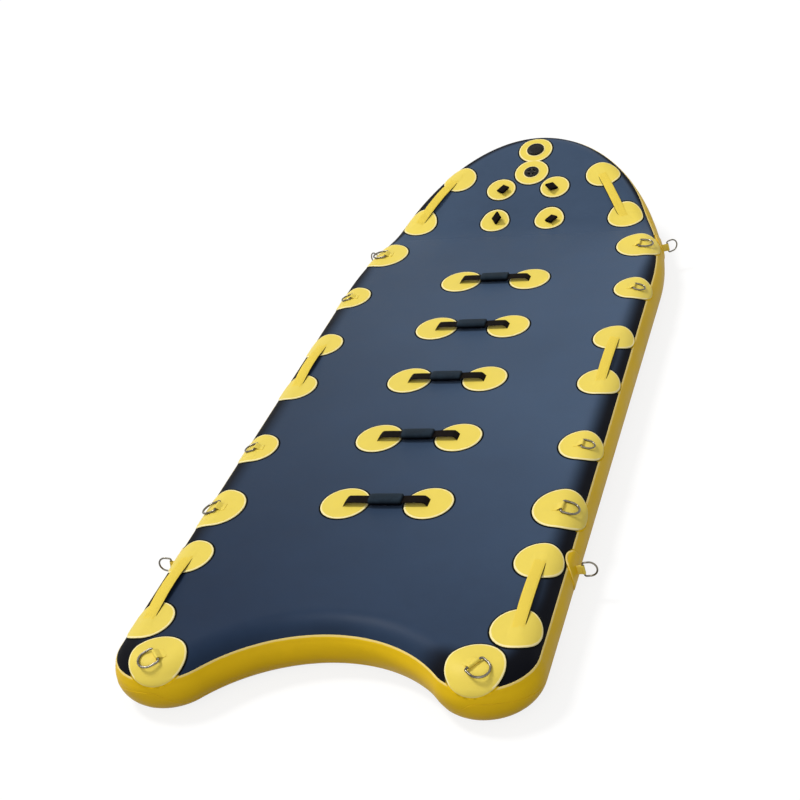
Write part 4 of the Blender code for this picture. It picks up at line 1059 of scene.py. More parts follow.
def finish(name):
    """The material of that name, made when it is first asked for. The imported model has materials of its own."""
    c = colours()
    makers = {
        "navy_coated_fabric": deck_finish,
        "sidewall_yellow": lambda: yellow_finish("sidewall_yellow", c.sidewall, 0.55, 0.08, 0.46, 0.09),
        "patch_yellow": lambda: yellow_finish("patch_yellow", c.patch, 1.0, 0.05, 0.44, 0.12),
        "band_yellow": lambda: webbing_finish("band_yellow", c.band, 0.0026, 0.50),
        "black_webbing": lambda: webbing_finish("black_webbing", c.webbing, 0.0024, 0.72),
        "stitch_thread": lambda: webbing_finish("stitch_thread", c.thread, 0.0006, 0.70),
        "core_yarn": lambda: webbing_finish("core_yarn", c.yarn, 0.0030, 0.85),
        "adhesive": lambda: hard_finish("adhesive", c.adhesive, 60.0, 0.3, 0.6, masked_colour=c.sidewall,
                                        Specular_IOR_Level=0.02),
        "slit_shadow": lambda: hard_finish("slit_shadow", c.slit, 60.0, 0.2, 0.8, 0.0001, Specular_IOR_Level=0.02),
        # Painted light and shade: the grips near black underneath, and lighter on top as sheen
        "grip_rubber": lambda: hard_finish("grip_rubber", c.rubber, 45.0, 0.25, 0.46, 0.00015, c.rubber_painted_sheen,
                                           Specular_IOR_Level=0.03),
        # Painted highlight: the raised teeth, dots and spokes lighter than the rest
        "valve_plastic": lambda: hard_finish("valve_plastic", c.valve, 60.0, 0.25, 0.34, 0.00008, c.valve_painted_highlight,
                                             Specular_IOR_Level=0.05),
        "stainless_steel": lambda: hard_finish("stainless_steel", c.steel, 70.0, 0.45, 0.20, 0.00003, Metallic=1.0),
        "spring_steel": lambda: hard_finish("spring_steel", c.steel, 150.0, 0.15, 0.25, 0.00003, Metallic=1.0),
    }
    return bpy.data.materials.get(f"{name}_finish") or makers[name]()


# Geometry node trees

def new_tree(name, **inputs):
    """A geometry node tree that takes a mesh, a material and more, and gives a mesh."""
    return new_nodes(name, "GeometryNodeTree", {"Geometry": "Geometry", "Material": "Material", **inputs},
                     {"Geometry": "Geometry"})


def close_tree(w, given, made, points, instance, turn=None):
    """Lays the instance on the points, makes it real and gives it the material."""
    values = {"Points": points, "Instance": instance}
    if turn is not None:
        values["Rotation"] = turn
    laid = w.add("GeometryNodeInstanceOnPoints", values).outputs["Instances"]
    solid = w.add("GeometryNodeRealizeInstances", {"Geometry": laid}).outputs["Geometry"]
    painted = w.add("GeometryNodeSetMaterial", {"Geometry": solid, "Material": given["Material"]})
    w.put(made["Geometry"], painted.outputs["Geometry"])


def stood_up(w):
    """A turn whose Z follows the points' own up vectors and whose X follows their ahead vectors."""
    up = w.add("GeometryNodeInputNamedAttribute", {"Name": "up"}, data_type="FLOAT_VECTOR").outputs["Attribute"]
    ahead = w.add("GeometryNodeInputNamedAttribute", {"Name": "ahead"}, data_type="FLOAT_VECTOR")
    first = w.add("FunctionNodeAlignRotationToVector", {"Vector": up}, axis="Z")
    second = w.add("FunctionNodeAlignRotationToVector",
                   {"Rotation": first.outputs["Rotation"], "Vector": ahead.outputs["Attribute"]},
                   axis="X", pivot_axis="Z")
    return second.outputs["Rotation"]


def stitches_tree():
    """A stitch at each point: a short rounded bar of thread lying on the cloth."""
    w, given, made = new_tree("stitches", Length="Float", Thread="Float")
    bar = w.add("GeometryNodeMeshUVSphere", {"Segments": 8, "Rings": 4, "Radius": 1.0})
    size = w.add("ShaderNodeCombineXYZ", {"X": w.maths("MULTIPLY", given["Length"], 0.5),
                                          "Y": given["Thread"], "Z": given["Thread"]})
    thread = w.add("GeometryNodeTransform", {"Geometry": bar.outputs["Mesh"], "Scale": size.outputs["Vector"]})
    smooth_bar = w.add("GeometryNodeSetShadeSmooth", {"Geometry": thread.outputs["Geometry"]})
    points = w.add("GeometryNodeMeshToPoints", {"Mesh": given["Geometry"]}).outputs["Points"]
    close_tree(w, given, made, points, smooth_bar.outputs["Geometry"], stood_up(w))
    return w.tree


def drop_threads_tree():
    """A yarn at each point, standing from the lower cloth to the upper one."""
    w, given, made = new_tree("drop_threads", Height="Float", Yarn="Float")
    yarn = w.add("GeometryNodeMeshCylinder", {"Vertices": 4, "Radius": given["Yarn"], "Depth": given["Height"]})
    points = w.add("GeometryNodeMeshToPoints", {"Mesh": given["Geometry"]}).outputs["Points"]
    close_tree(w, given, made, points, yarn.outputs["Mesh"], stood_up(w))
    return w.tree


def repeat_tree():
    """The given shape repeated along a straight line, such as the ribs of a grip."""
    w, given, made = new_tree("repeat_along", Count="Int", Step="Vector")
    line = w.add("GeometryNodeMeshLine", {"Count": given["Count"], "Offset": given["Step"]})
    close_tree(w, given, made, line.outputs["Mesh"], given["Geometry"])
    return w.tree


def ring_of_teeth_tree():
    """The given tooth repeated round a circle, its X outwards."""
    w, given, made = new_tree("ring_of_teeth", Count="Int", Radius="Float")
    circle_line = w.add("GeometryNodeMeshCircle", {"Vertices": given["Count"], "Radius": given["Radius"]})
    outwards = w.add("GeometryNodeInputPosition").outputs["Position"]
    turn = w.add("FunctionNodeAlignRotationToVector", {"Vector": outwards}, axis="X", pivot_axis="Z")
    close_tree(w, given, made, circle_line.outputs["Mesh"], given["Geometry"], turn.outputs["Rotation"])
    return w.tree


def grown(mesh, tree_name, values):
    """A plain mesh of what a geometry node tree makes from this one."""
    tree = nodes_named(tree_name)
    helper = put_in_scene(f"{tree_name}_helper", mesh)
    modifier = helper.modifiers.new(tree_name, "NODES")
    modifier.node_group = tree
    for item in tree.interface.items_tree:
        if item.in_out == "INPUT" and item.name in values:
            modifier[item.identifier] = values[item.name]
    graph = bpy.context.evaluated_depsgraph_get()
    made = bpy.data.meshes.new_from_object(helper.evaluated_get(graph), depsgraph=graph)
    bpy.data.objects.remove(helper, do_unlink=True)
    return made


def point_mesh(name, points, up, ahead):
    """Loose points that carry an up and an ahead vector."""
    mesh = bpy.data.meshes.new(name)
    mesh.from_pydata(np.asarray(points).tolist(), [], [])
    for label, values in (("up", up), ("ahead", ahead)):
        layer = mesh.attributes.new(label, "FLOAT_VECTOR", "POINT")
        layer.data.foreach_set("vector", np.asarray(values, np.float32).ravel())
    return mesh


def stitched(rows):
    """A mesh of the stitches in rows, each given by its first and last point and its way up."""
    s = sizes()
    places, ups, aheads = [], [], []
    for first, last, up in rows:
        length = np.linalg.norm(last - first)
        count = max(2, round(length / s.stitch_pitch))
        t = (np.arange(count) + 0.5) / count
        places.append(first + t[:, None] * (last - first))
        ups.append(np.tile(up, (count, 1)))
        aheads.append(np.tile((last - first) / length, (count, 1)))
    mesh = point_mesh("stitch_places", *map(np.concatenate, (places, ups, aheads)))
    return grown(mesh, "stitches", {"Length": s.stitch_length, "Thread": s.thread_radius,
                                    "Material": finish("stitch_thread")})


# Pieces

def sizes():
    return bpy.context.scene.sled_sizes


def colours():
    return bpy.context.scene.sled_colours


def studio():
    return bpy.context.scene.sled_studio


def add_piece(name, mesh, nodes=(), body="board"):
    """Puts a finished piece on its body and lets it stand for its CAD nodes."""
    piece = put_in_scene(name, mesh)
    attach(piece, body)
    if nodes:
        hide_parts(*nodes)
    return piece


def add_shape(name, shape, finishes, nodes=(), body="board", sharp=32):
    """Makes a piece of a shape and the finishes that it is painted with."""
    return add_piece(name, shape.mesh(name, [finish(f) for f in finishes], sharp), nodes, body)


def flipped(points, side):
    """Plan points on the other side of the board when side is -1."""
    return np.asarray(points, float) * np.array([side, 1.0])


def skin_points(shares, wrap):
    """Plan points of the stations at shares of their own wrap angle, with the edges round them."""
    count = len(STATIONS)
    points = [STATION_FEET + STATION_OUT * RAIL * share * wrap[:, None] for share in shares]
    edges = []
    for row in range(len(shares)):
        edges += round_edges(row * count, count)
    return np.concatenate(points), edges


def fold_lines():
    """Plan lines across the flat deck, close together where the nose bends."""
    bends = np.linspace(BEND_START, BEND_START + BEND_LENGTH, 17)
    near = [fold + step for fold in (bends[0], bends[-1]) for step in np.linspace(-FOLD_REACH, FOLD_REACH, 9)]
    return sorted(set(np.round(np.concatenate([bends, near]), 5)))


def shaded(plan):
    """How dark the painted shade is where the fabric rolls over the rail: sooner at the horns, later and less in the
    notch.
    """
    foot, _, out = from_foot(plan)
    x, s = foot.T
    notch = grows(-s, *NOTCH_AHEAD) * grows(-x, *NOTCH_RIGHT) * grows(x, *NOTCH_LEFT)
    nose = grows(s, *NOSE_ZONE)
    shares = {"notch": notch, "horn": grows(-s, *HORN_ZONE) * (1 - notch), "nose": nose,
              "lit_side": nose * grows(x, *LIT_ZONE), "far_side": grows(-x, *FAR_ZONE) * (1 - nose)}
    start, end = (SHADE[k] + sum(SHADE_MOVES[place][k] * share for place, share in shares.items()) for k in (0, 1))
    return grows(out, start, end - start) * (1 - NOTCH_LIGHTER * notch)


def skin_sheet(shares, wrap, holes, under):
    """A closed fabric sheet over the flat face and part of the rail."""
    points, edges = skin_points(shares, wrap)
    border = points[-len(STATIONS):]
    flat_border = points[:len(STATIONS)]
    inner = np.concatenate([STATION_FEET - STATION_OUT * back for back in INNER_ROWS])
    points = np.concatenate([points, inner])
    for line in fold_lines():
        x = np.linspace(-FOLD_HALF, FOLD_HALF, FOLD_STEPS)
        row = np.stack([x, np.full(len(x), line)], 1)
        row = row[inside(flat_border * FOLD_SHARE + np.array([0, (1 - FOLD_SHARE) * line]), row)]
        edges += [(len(points) + i, len(points) + i + 1) for i in range(len(row) - 1)]
        points = np.concatenate([points, row])
    for hole in holes:
        edges += round_edges(len(points), len(hole))
        points = np.concatenate([points, hole])
    plan, triangles = triangulate(points, edges)
    middle = plan[triangles].mean(axis=1)
    keep = inside(border, middle)
    for hole in holes:
        keep &= ~inside(hole, middle)
    triangles = triangles[keep]
    top = lifted(plan, 0.0, under=under, over_lap=False)
    low = lifted(plan, -SKIN, under=under, over_lap=False)
    faces = doubled(triangles.tolist(), len(plan))
    # The second value is the painted shade where the fabric rolls over the rail, carried in the rail mask
    return (np.concatenate([top, low]), faces), np.tile(shaded(plan), 2)


def build_deck():
    """The navy deck fabric with the holes for the valves."""
    holes = [circle(spot, valve["barrel"] + HOLE_CLEARANCE, TURNED_SIDES) for spot, valve in VALVES.values()]
    wrap = seam_at(STATION_FEET) + SKIN_UNDER_HEM
    solid, rail = skin_sheet(np.linspace(0, 1, DECK_ROWS), wrap, holes, False)
    shape = Shape()
    shape.add(solid, rail=rail)
    add_shape("deck_fabric", shape, ["navy_coated_fabric"], ["deck_skin"])


def build_bottom():
    """The navy bottom fabric."""
    solid, rail = skin_sheet(np.linspace(0, 1, BOTTOM_ROWS), np.full(len(STATIONS), BOTTOM_WRAP), [], True)
    shape = Shape()
    # The bottom takes half as much painted shade over its rail
    shape.add(solid, rail=rail * BOTTOM_SHADE)
    add_shape("bottom_fabric", shape, ["navy_coated_fabric"], ["bottom_skin"])


def tape_top():
    """Rail angle of the lower tape's upper edge at each station: highest round the ends of the horns."""
    heading = np.degrees(np.arctan2(STATION_OUT[:, 1], np.abs(STATION_OUT[:, 0])))
    in_notch = (np.abs(STATIONS[:, 0]) < HALF_WIDTH - HORN_RADIUS) & (STATIONS[:, 1] < NOTCH_DEPTH + NOTCH_SLACK)
    rise = grows(-heading, 0, HORN_HEADING)
    angle = TAPE_SIDE + (TAPE_HORN - TAPE_SIDE) * rise
    into_notch = grows(-np.abs(STATIONS[:, 0]), HORN_RADIUS - HALF_WIDTH, NOTCH_RUN)
    return np.where(in_notch, TAPE_HORN + (TAPE_NOTCH - TAPE_HORN) * into_notch, angle)


def build_sidewall():
    """The yellow wall with its top hem lapped over the deck and a tape lapped over its lower half."""
    lap = sizes().lap_height
    last = math.pi - BOTTOM_WRAP - GAP / RAIL
    tops = tape_top()
    seams = seam_at(STATION_FEET)
    rows = []
    for top, first in zip(tops, seams):
        row = [(first, HEM_SEAT)] + [(first + a, lap * share) for a, share in HEM_ROWS]
        row += [(a, 0.0) for a in np.linspace(first + HEM_FOOT, top - TAPE_END, 8)]
        row += [(top + a, TAPE_HEIGHT * share) for a, share in TAPE_ROWS]
        row += [(a, TAPE_HEIGHT) for a in np.linspace(top + TAPE_FLAT, last - TAPE_END, 9)]
        row += [(last + a, TAPE_HEIGHT * share) for a, share in WALL_LAST_ROWS]
        row += [(a, -SKIN) for a in np.linspace(last, first + HEM_TUCK, 9)]
        rows.append(row + [(first + HEM_TUCK, 0.0)])
    turn = np.array([[a for a, _ in row] for row in rows])
    radius = RAIL + np.array([[h for _, h in row] for row in rows])
    out = radius * np.sin(turn)
    plan = STATION_FEET[:, None] + STATION_OUT[:, None] * out[..., None]
    flat = np.concatenate([plan, (radius * np.cos(turn))[..., None]], 2)
    rings = to_world(flat.reshape(-1, 3)).reshape(flat.shape)
    near_edge = np.clip(1 - (turn - seams[:, None]) * RAIL / sizes().hem_rim, 0, 1)
    # Painted shade, carried in the rail mask: a darker line just above the tape's edge, and darker towards the wall's
    # foot
    near_tape = np.clip(1 - np.abs(turn - tops[:, None] + TAPE_BACK) * RAIL / TAPE_LINE, 0, 1) * TAPE_SHADE
    wall_shade = np.clip((turn - WALL_SHADE_FROM) / WALL_SHADE_OVER, 0, 1) * sizes().wall_shade_depth
    outer = radius > RAIL - SKIN / 2
    shape = Shape()
    shape.add(swept(rings, closed=True), rim=np.where(outer, near_edge, 0.0).reshape(-1),
              rail=np.where(outer, np.maximum(near_tape, wall_shade), 0.0).reshape(-1))
    add_shape("sidewall_band", shape, ["sidewall_yellow"], ["sidewall_left", "sidewall_right"])


def build_core():
    """Upper and lower woven sheets joined by thousands of upright yarns, seen only if the skin is cut."""
    top = RAIL - SKIN - GAP
    front = TIP - CORE_FRONT
    right = STATION_FEET[(STATION_FEET[:, 0] > 0) & (STATION_FEET[:, 1] > HORN_RADIUS)]
    right = right[np.argsort(right[:, 1])]

    def half_at(s):
        return np.interp(s, right[:, 1], right[:, 0]) - CORE_EDGE

    stops = np.unique(np.concatenate([np.linspace(CORE_TAIL, front, 40),
                                      np.linspace(BEND_START, BEND_START + BEND_LENGTH, 9)]))
    shape = Shape()
    for low, high in ((-top, -top + CORE_SHEET), (top - CORE_SHEET, top)):
        flat = [[(-half_at(s), s, high), (half_at(s), s, high), (half_at(s), s, low), (-half_at(s), s, low)]
                for s in stops]
        flat = np.array(flat)
        rings = to_world(flat.reshape(-1, 3)).reshape(flat.shape)
        shape.add(swept(rings), cloth=flat.reshape(-1, 3)[:, [1, 0, 2]])
    pitch = sizes().core_pitch
    rows = np.arange(CORE_TAIL + pitch, front - pitch, pitch)
    spots = np.array([(x, s) for s in rows for x in np.arange(-half_at(s) + pitch, half_at(s), pitch)])
    middle = to_world(np.column_stack([spots, np.zeros(len(spots))]))
    above = to_world(np.column_stack([spots, np.full(len(spots), TINY)]))
    up = (above - middle) / TINY
    mesh = point_mesh("thread_places", middle, up, np.tile([1.0, 0.0, 0.0], (len(spots), 1)))
    shape.add_mesh(grown(mesh, "drop_threads", {"Height": 2 * (top - CORE_SHEET), "Yarn": CORE_YARN,
                                                "Material": finish("core_yarn")}))
    add_shape("drop_stitch_core_yarns", shape, ["core_yarn"], ["drop_stitch_core"])


def sleeve_path(centre, direction, ring, matrix):
    """The sleeve's fabric in the bar's frame: from the tongue's tip on the patch, over the bar and under it."""
    radius = ring["wire"] / 2 + BAR_CLEARANCE + FABRIC / 2
    way = unit(np.array(direction, float))
    flat = [np.array(centre) + way * x for x in np.linspace(-TONGUE, -TONGUE * TONGUE_FLAT, 5)]
    on_patch = in_frame(lifted(flat, PATCH_TOP + FABRIC / 2 - TONGUE_SINK), matrix.inverted())
    path = [(p[0], p[2]) for p in on_patch]
    path += [(-TONGUE * TONGUE_LEAVES, (path[-1][1] + radius * 0.25) / 2)]
    path += arc((0, 0), radius, 128, -100, 17)
    return path


def build_deck_ring_patches():
    """Round patches on the deck's edge, each with the sleeve that holds its ring's bar."""
    spots = {}
    for name, (s, inset, ring) in DECK_RINGS.items():
        spots[name] = ((half_width_at(s) - inset, s), ACROSS, ring, ring["patch"], RING_PATCH_LONGER)
    corner = (HALF_WIDTH - HORN_RADIUS + CORNER_RING[0], HORN_RADIUS + CORNER_RING[1])
    spots["corner"] = (corner, CORNER_DIRECTION, BIG_RING, CORNER_PATCH_RADIUS, CORNER_PATCH_LONGER)
    for name, (centre, direction, ring, radius, longer) in spots.items():
        sleeve_radius = ring["wire"] / 2 + BAR_CLEARANCE + FABRIC
        for label, side in SIDES:
            place = flipped(centre, side)
            way = flipped(direction, side)
            matrix = surface_frame(place, PATCH_TOP + sleeve_radius, way)
            shape = Shape()
            patch_disc(shape, place, radius, longer=longer)
            folded_band(shape, sleeve_path(place, way, ring, matrix), ring["sleeve"], matrix)
            title = f"ring_patch_{name}_{label}"
            add_shape(f"{title}_cloth", shape, ["patch_yellow", "adhesive"], [title])


def build_side_ring_patches():
    """Round patches on the sidewall, each with a tab that stands off it and holds its ring's bar."""
    ring = SMALL_RING
    radius = ring["wire"] / 2 + BAR_CLEARANCE + FABRIC / 2
    for name, s in SIDE_RINGS.items():
        nearest = (np.abs(FEET[:, 1] - s) + (FEET[:, 0] < 0)).argmin()
        for label, side in SIDES:
            out_way = flipped(FINE_OUT[nearest], side)
            centre = flipped(FEET[nearest], side) + out_way * RAIL * SIDE_RING_ANGLE
            wall = surface_frame(centre, PATCH_TOP + TAB, out_way)
            out = wall.to_3x3().col[2]
            up = -wall.to_3x3().col[0]
            matrix = frame_of(out, up, out.cross(up), wall.translation)
            apart = FABRIC / 2 + TAB_GAP
            path = [(-TAB - TAB_SINK, apart), (-TAB * TAB_WAIST, apart)]
            path += arc((0, 0), radius, 150, -150, 21)
            path += [(-TAB * TAB_WAIST, -apart), (-TAB - TAB_SINK, -apart)]
            shape = Shape()
            patch_disc(shape, centre, SIDE_PATCH_RADIUS)
            folded_band(shape, path, ring["sleeve"], matrix, paint=2)
            title = f"ring_patch_{name}_{label}"
            add_shape(f"{title}_cloth", shape, ["sidewall_yellow", "adhesive", "patch_yellow"],
                      [title])


def cad_centre(node):
    """The middle of a CAD node's points."""
    points = np.empty(len(frame["nodes"][node].data.vertices) * 3)
    frame["nodes"][node].data.vertices.foreach_get("co", points)
    return Vector(points.reshape(-1, 3).mean(axis=0))


def hinge_frame(joint, node):
    """The node's frame at rest from its hinge: Y along the hinge, X towards the node's middle."""
    origin = Vector(JOINTS[joint]["pos_m"])
    y_axis = Vector(JOINTS[joint]["axis"]).normalized()
    reach = cad_centre(node) - origin
    x_axis = (reach - reach.dot(y_axis) * y_axis).normalized()
    return frame_of(x_axis, y_axis, x_axis.cross(y_axis), origin)


def ring_wire(ring):
    """The D-ring's wire in its own frame: the bar on Y, the bow towards +X."""
    half = ring["span"] / 2
    corner = ring["corner"]
    inner = half - corner
    path = [(0.0, y) for y in np.linspace(-inner, inner, 5)] + arc((corner, inner), corner, 180, 90, 7)[1:]
    path += arc((ring["reach"] - half, 0), half, 90, -90, 33) + arc((corner, -inner), corner, -90, -180, 7)[:-1]
    path = np.array(path)
    section = circle((0, 0), ring["wire"] / 2, 16)
    rings = [[(*(point - left * across), up) for across, up in section]
             for point, left in zip(path, left_of(path, True))]
    return swept(np.array(rings), closed=True)


def build_rings():
    """The D-rings, each on its own hinge."""
    kinds = {name: ring for name, (_, _, ring) in DECK_RINGS.items()}
    kinds["corner"] = BIG_RING
    kinds.update(dict.fromkeys(SIDE_RINGS, SMALL_RING))
    for name, ring in kinds.items():
        points, faces = ring_wire(ring)
        for label, _ in SIDES:
            title = f"ring_{name}_{label}"
            shape = Shape()
            shape.add((in_frame(points, hinge_frame(f"{title}_hinge", title)), faces))
            add_shape(f"{title}_wire", shape, ["stainless_steel"], [title], title, sharp=60)


def grip_section(share):
    """A flattened round at a share of the grip's full size: across and height pairs."""
    half = GRIP_THICKNESS * share / 2
    bulge = GRIP_WIDTH * share / 2 - half
    turns = np.radians(np.linspace(-90, 90, 9))
    right = [(bulge + half * math.cos(a), half * math.sin(a)) for a in turns]
    return np.array(right + [(-x, z) for x, z in reversed(right)])


def grip_solid(shape, stations):
    """A grip along local X from (x, share of full size) pairs, with its upper side marked for painted sheen."""
    rings = [[(x, across, up) for across, up in grip_section(share)] for x, share in stations]
    points, faces = swept(np.array(rings))
    shape.add((points, faces), rail=grows(points[:, 2], *GRIP_SHEEN))


def build_grips():
    """The ribbed rubber sleeves round the centre straps."""
    s = sizes()
    ends = [(GRIP_LENGTH / 2 - back, share) for back, share in GRIP_ENDS]
    core = [(-x, share) for x, share in ends] + list(GRIP_MIDDLE) + ends[::-1]
    rib = Shape()
    grip_solid(rib, GRIP_RIB)
    first = -s.rib_pitch * (s.rib_count - 1) / 2
    rib_mesh = rib.mesh("grip_rib", [finish("grip_rubber")])
    rib_mesh.transform(Matrix.Translation((first, 0, 0)))
    ribs = grown(rib_mesh, "repeat_along", {"Count": s.rib_count, "Step": (s.rib_pitch, 0.0, 0.0),
                                            "Material": finish("grip_rubber")})
    for number in range(CENTRE_COUNT):
        place = lifted([(0, CENTRE_FIRST + number * CENTRE_PITCH)], s.grip_level)[0]
        shape = Shape()
        grip_solid(shape, core)
        shape.add_mesh(ribs)
        mesh = shape.mesh(f"grip_sleeve_{number + 1}", [finish("grip_rubber")], sharp=50)
        mesh.transform(Matrix.Translation(Vector(place)))
        add_piece(f"grip_sleeve_{number + 1}", mesh, [f"centre_handle_grip_{number + 1}"])


def build_centre_handles():
    """Five straps, each up through a slit in one patch, through the grip and down through the other."""
    run = sizes().strap_ramp / (2 * CENTRE_HALF)
    level_from = (CENTRE_HALF - GRIP_LENGTH / 2 - GRIP_CLEAR) / (2 * CENTRE_HALF)
    low = PATCH_TOP - CENTRE_SINK
    level = sizes().grip_level

    def rise(u):
        end = min(u, 1 - u)
        arch = math.sin(math.pi * min(1.0, end / level_from)) * sizes().strap_arch
        return low + (level - low) * float(math.sqrt(smooth(end / run))) + arch

    steps = list(np.linspace(0, 1, 11) ** 1.5 * run) + list(np.linspace(run, level_from, 8)[1:])
    steps += [1 - u for u in reversed(steps)]
    rows = []
    sewn = STRAP_WIDTH * STITCH_SHARE
    for number in range(CENTRE_COUNT):
        s = CENTRE_FIRST + number * CENTRE_PITCH
        shape = Shape()
        for side in (-1, 1):
            patch_disc(shape, (side * CENTRE_HALF, s), CENTRE_PATCH_RADIUS, longer=CENTRE_PATCH_LONGER)
            slit(shape, (side * CENTRE_HALF, s), 3)
            for back in CENTRE_STITCHES:
                x = side * (CENTRE_HALF - back)
                height = rise(back / (2 * CENTRE_HALF)) + WEBBING / 2
                rows.append((*lifted([(x, s - sewn), (x, s + sewn)], height), (0, 0, 1)))
        deck_strap(shape, (-CENTRE_HALF, s), (CENTRE_HALF, s), rise, steps, paint=2)
        title = f"centre_handle_strap_{number + 1}"
        finishes = ["patch_yellow", "adhesive", "black_webbing", "slit_shadow"]
        add_shape(f"{title}_webbing", shape, finishes, [title])
    made = stitched(rows)
    made.name = "centre_handle_stitching"
    add_piece("centre_handle_stitching", made)


def build_side_handles():
    """Yellow bands arched between two round lobes near the deck's edge, each with a dark strip along one edge as
    painted shadow.
    """
    handles = {}
    lobe_x = HALF_WIDTH - LOBE_INSET
    for name, middle in SIDE_HANDLES.items():
        lobes = [(lobe_x, middle - SIDE_HANDLE_HALF), (lobe_x, middle + SIDE_HANDLE_HALF)]
        handles[name] = (lobes, (LOBE_INSET - SIDE_STRAP_INSET, 0.0), LOBE_RADIUS)
    stops = [TIP - back for back in reversed(NOSE_LOBES_FROM_TIP)]
    handles["nose"] = ([(half_width_at(s) - NOSE_LOBE_INSET, s) for s in stops], (0.0, 0.0), NOSE_LOBE_RADIUS)
    low = PATCH_TOP - SIDE_SINK

    def rise(u):
        return low + (sizes().side_rise - low) * float(smooth(min(u, 1 - u) / sizes().side_ramp))

    def shadow_strip_rise(u):
        return rise(u) - EDGE_DROP

    steps = np.linspace(0, 1, 41)
    for name, (lobes, shift, radius) in handles.items():
        for label, side in SIDES:
            shape = Shape()
            moved = np.array(NOSE_LEFT_MOVED if (name, label) == ("nose", "left") else [LOBE_OUT[label]] * 2)
            width = SIDE_BAND_WIDTH[label]
            centres = [flipped(lobe, side) for lobe in np.array(lobes) + moved]
            band_shift = np.array(shift) + (BAND_OUT[label][name], moved[0][1])
            ends = [flipped(np.array(lobe) + band_shift, side) for lobe in lobes]
            along = unit(ends[1] - ends[0])
            across = np.array([-along[1], along[0]])
            for number, centre in enumerate(centres):
                outward = along * (1 if number else -1)

                def bump(plan, start=ends[number], outward=outward, across=across, width=width):
                    """The strap's end shows through the lobe as a low flat rise."""
                    beyond = BURIED_LENGTH - np.abs((plan - start) @ outward - BURIED_BACK)
                    beside = width / 2 + BURIED_SIDE - np.abs((plan - start) @ across)
                    return BURIED_RISE * smooth(beyond / BURIED_SLOPE) * smooth(beside / BURIED_SLOPE)

                patch_disc(shape, centre, radius, bump=bump, longer=LOBE_LONGER[name][number])
            deck_strap(shape, ends[0], ends[1], rise, steps, paint=2, width=width)
            # Painted shadow: a dark strip just outside and below one edge of the band
            turned_side = -1 if (name, label) == ("nose", "right") else 1
            edge = turned_side * -across * (width / 2 + EDGE_DROP)
            deck_strap(shape, ends[0] + edge, ends[1] + edge, shadow_strip_rise, steps, paint=3, width=SHADOW_STRIP_WIDTH)
            title = f"side_handle_{name}_{label}"
            finishes = ["patch_yellow", "adhesive", "band_yellow", "slit_shadow"]
            add_shape(f"{title}_band", shape, finishes, [title])


def build_nose_loops():
    """Webbing doubled into a loop, sewn across near its base, and its round pad."""
    near = LOOP_OUTER - FABRIC / 2
    path = arc((LOOP_REACH, 0), near, 90, -90, 13)
    path += [(LOOP_REACH / 2, -near * LOOP_WAIST)]
    path += arc((0, 0), near, -90, -270, 11)
    path += [(LOOP_REACH / 2, near * LOOP_WAIST)]
    for name, (side, back) in LOOP_PADS.items():
        pad = Shape()
        patch_disc(pad, (side * LOOP_X, TIP - back), LOOP_PAD_RADIUS, base=PAD_BASE,
                   longer=REAR_LOOP_PAD_LONGER if name.startswith("rear") else 1.0)
        add_shape(f"loop_pad_{name}", pad, ["patch_yellow", "adhesive"])
        title = f"nose_loop_{name}"
        matrix = hinge_frame(f"{title}_flop", title)
        shape = Shape()
        folded_band(shape, path, LOOP_WIDTH, matrix, closed=True)
        rows = []
        sewn = LOOP_WIDTH * STITCH_SHARE
        for x in LOOP_STITCHES:
            for up in (1, -1):
                z = up * (near * LOOP_SEAM + FABRIC / 2)
                rows.append((*in_frame([(x, -sewn, z), (x, sewn, z)], matrix), np.array(matrix)[:3, 2] * up))
        shape.add_mesh(stitched(rows), 1)
        add_shape(f"{title}_webbing", shape, ["black_webbing", "stitch_thread"], [title], title)


def build_valve_pads():
    """Two round pads that meet in a figure of eight, each with a moulded collar round its valve."""
    for number, (name, (spot, valve)) in enumerate(VALVES.items()):
        other = VALVES["relief" if name == "inflation" else "inflation"][0]
        shape = Shape()
        patch_disc(shape, spot, VALVE_PAD_RADIUS, base=PAD_BASE, thickness=PATCH + PAD_BASE * number,
                   joins=[(other, VALVE_PAD_RADIUS)], hole=valve["barrel"] + HOLE_CLEARANCE)
        matrix = surface_frame(spot, 0.0, ACROSS)
        shape.add(turned(shifted(PAD_COLLAR, valve["flange"], PATCH + PAD_BASE), matrix), rim=COLLAR_PALE)
        add_shape(f"valve_pad_{name}", shape, ["patch_yellow", "adhesive"])


def shifted(rows, radius, height):
    """Profile rows moved to the corner that they shape."""
    return [(radius + out, height + up) for out, up in rows]


def valve_start(name):
    """A valve's sizes, its frame, its flange's underside, its floor and its seat's top."""
    spot, v = VALVES[name]
    return v, surface_frame(spot, 0.0, ACROSS), PATCH + GAP, -v["depth"], SEAT_THICKNESS - v["depth"]


def outside_of(v, flange_low, floor, lip, top):
    """A valve housing's outer profile: up the barrel, out under the flange and over its lip."""
    return [(v["seat"], floor), *shifted(BARREL_FOOT, v["barrel"], floor), (v["barrel"], flange_low),
            *shifted(FLANGE_FOOT, v["flange"], flange_low), *shifted(lip, v["flange"], top)]


def coil(radius, low, high, matrix):
    """A compression spring's wire."""
    count = SPRING_TURNS * STEPS_A_TURN + 1
    rings = []
    for step in range(count):
        turn = math.tau * step / STEPS_A_TURN
        height = low + (high - low) * step / (count - 1)
        out = np.array([math.cos(turn), math.sin(turn)])
        rings.append([(*(out * (radius + across)), height + up) for across, up in circle((0, 0), SPRING_WIRE, 8)])
    points, faces = swept(np.array(rings))
    return in_frame(points, matrix), faces


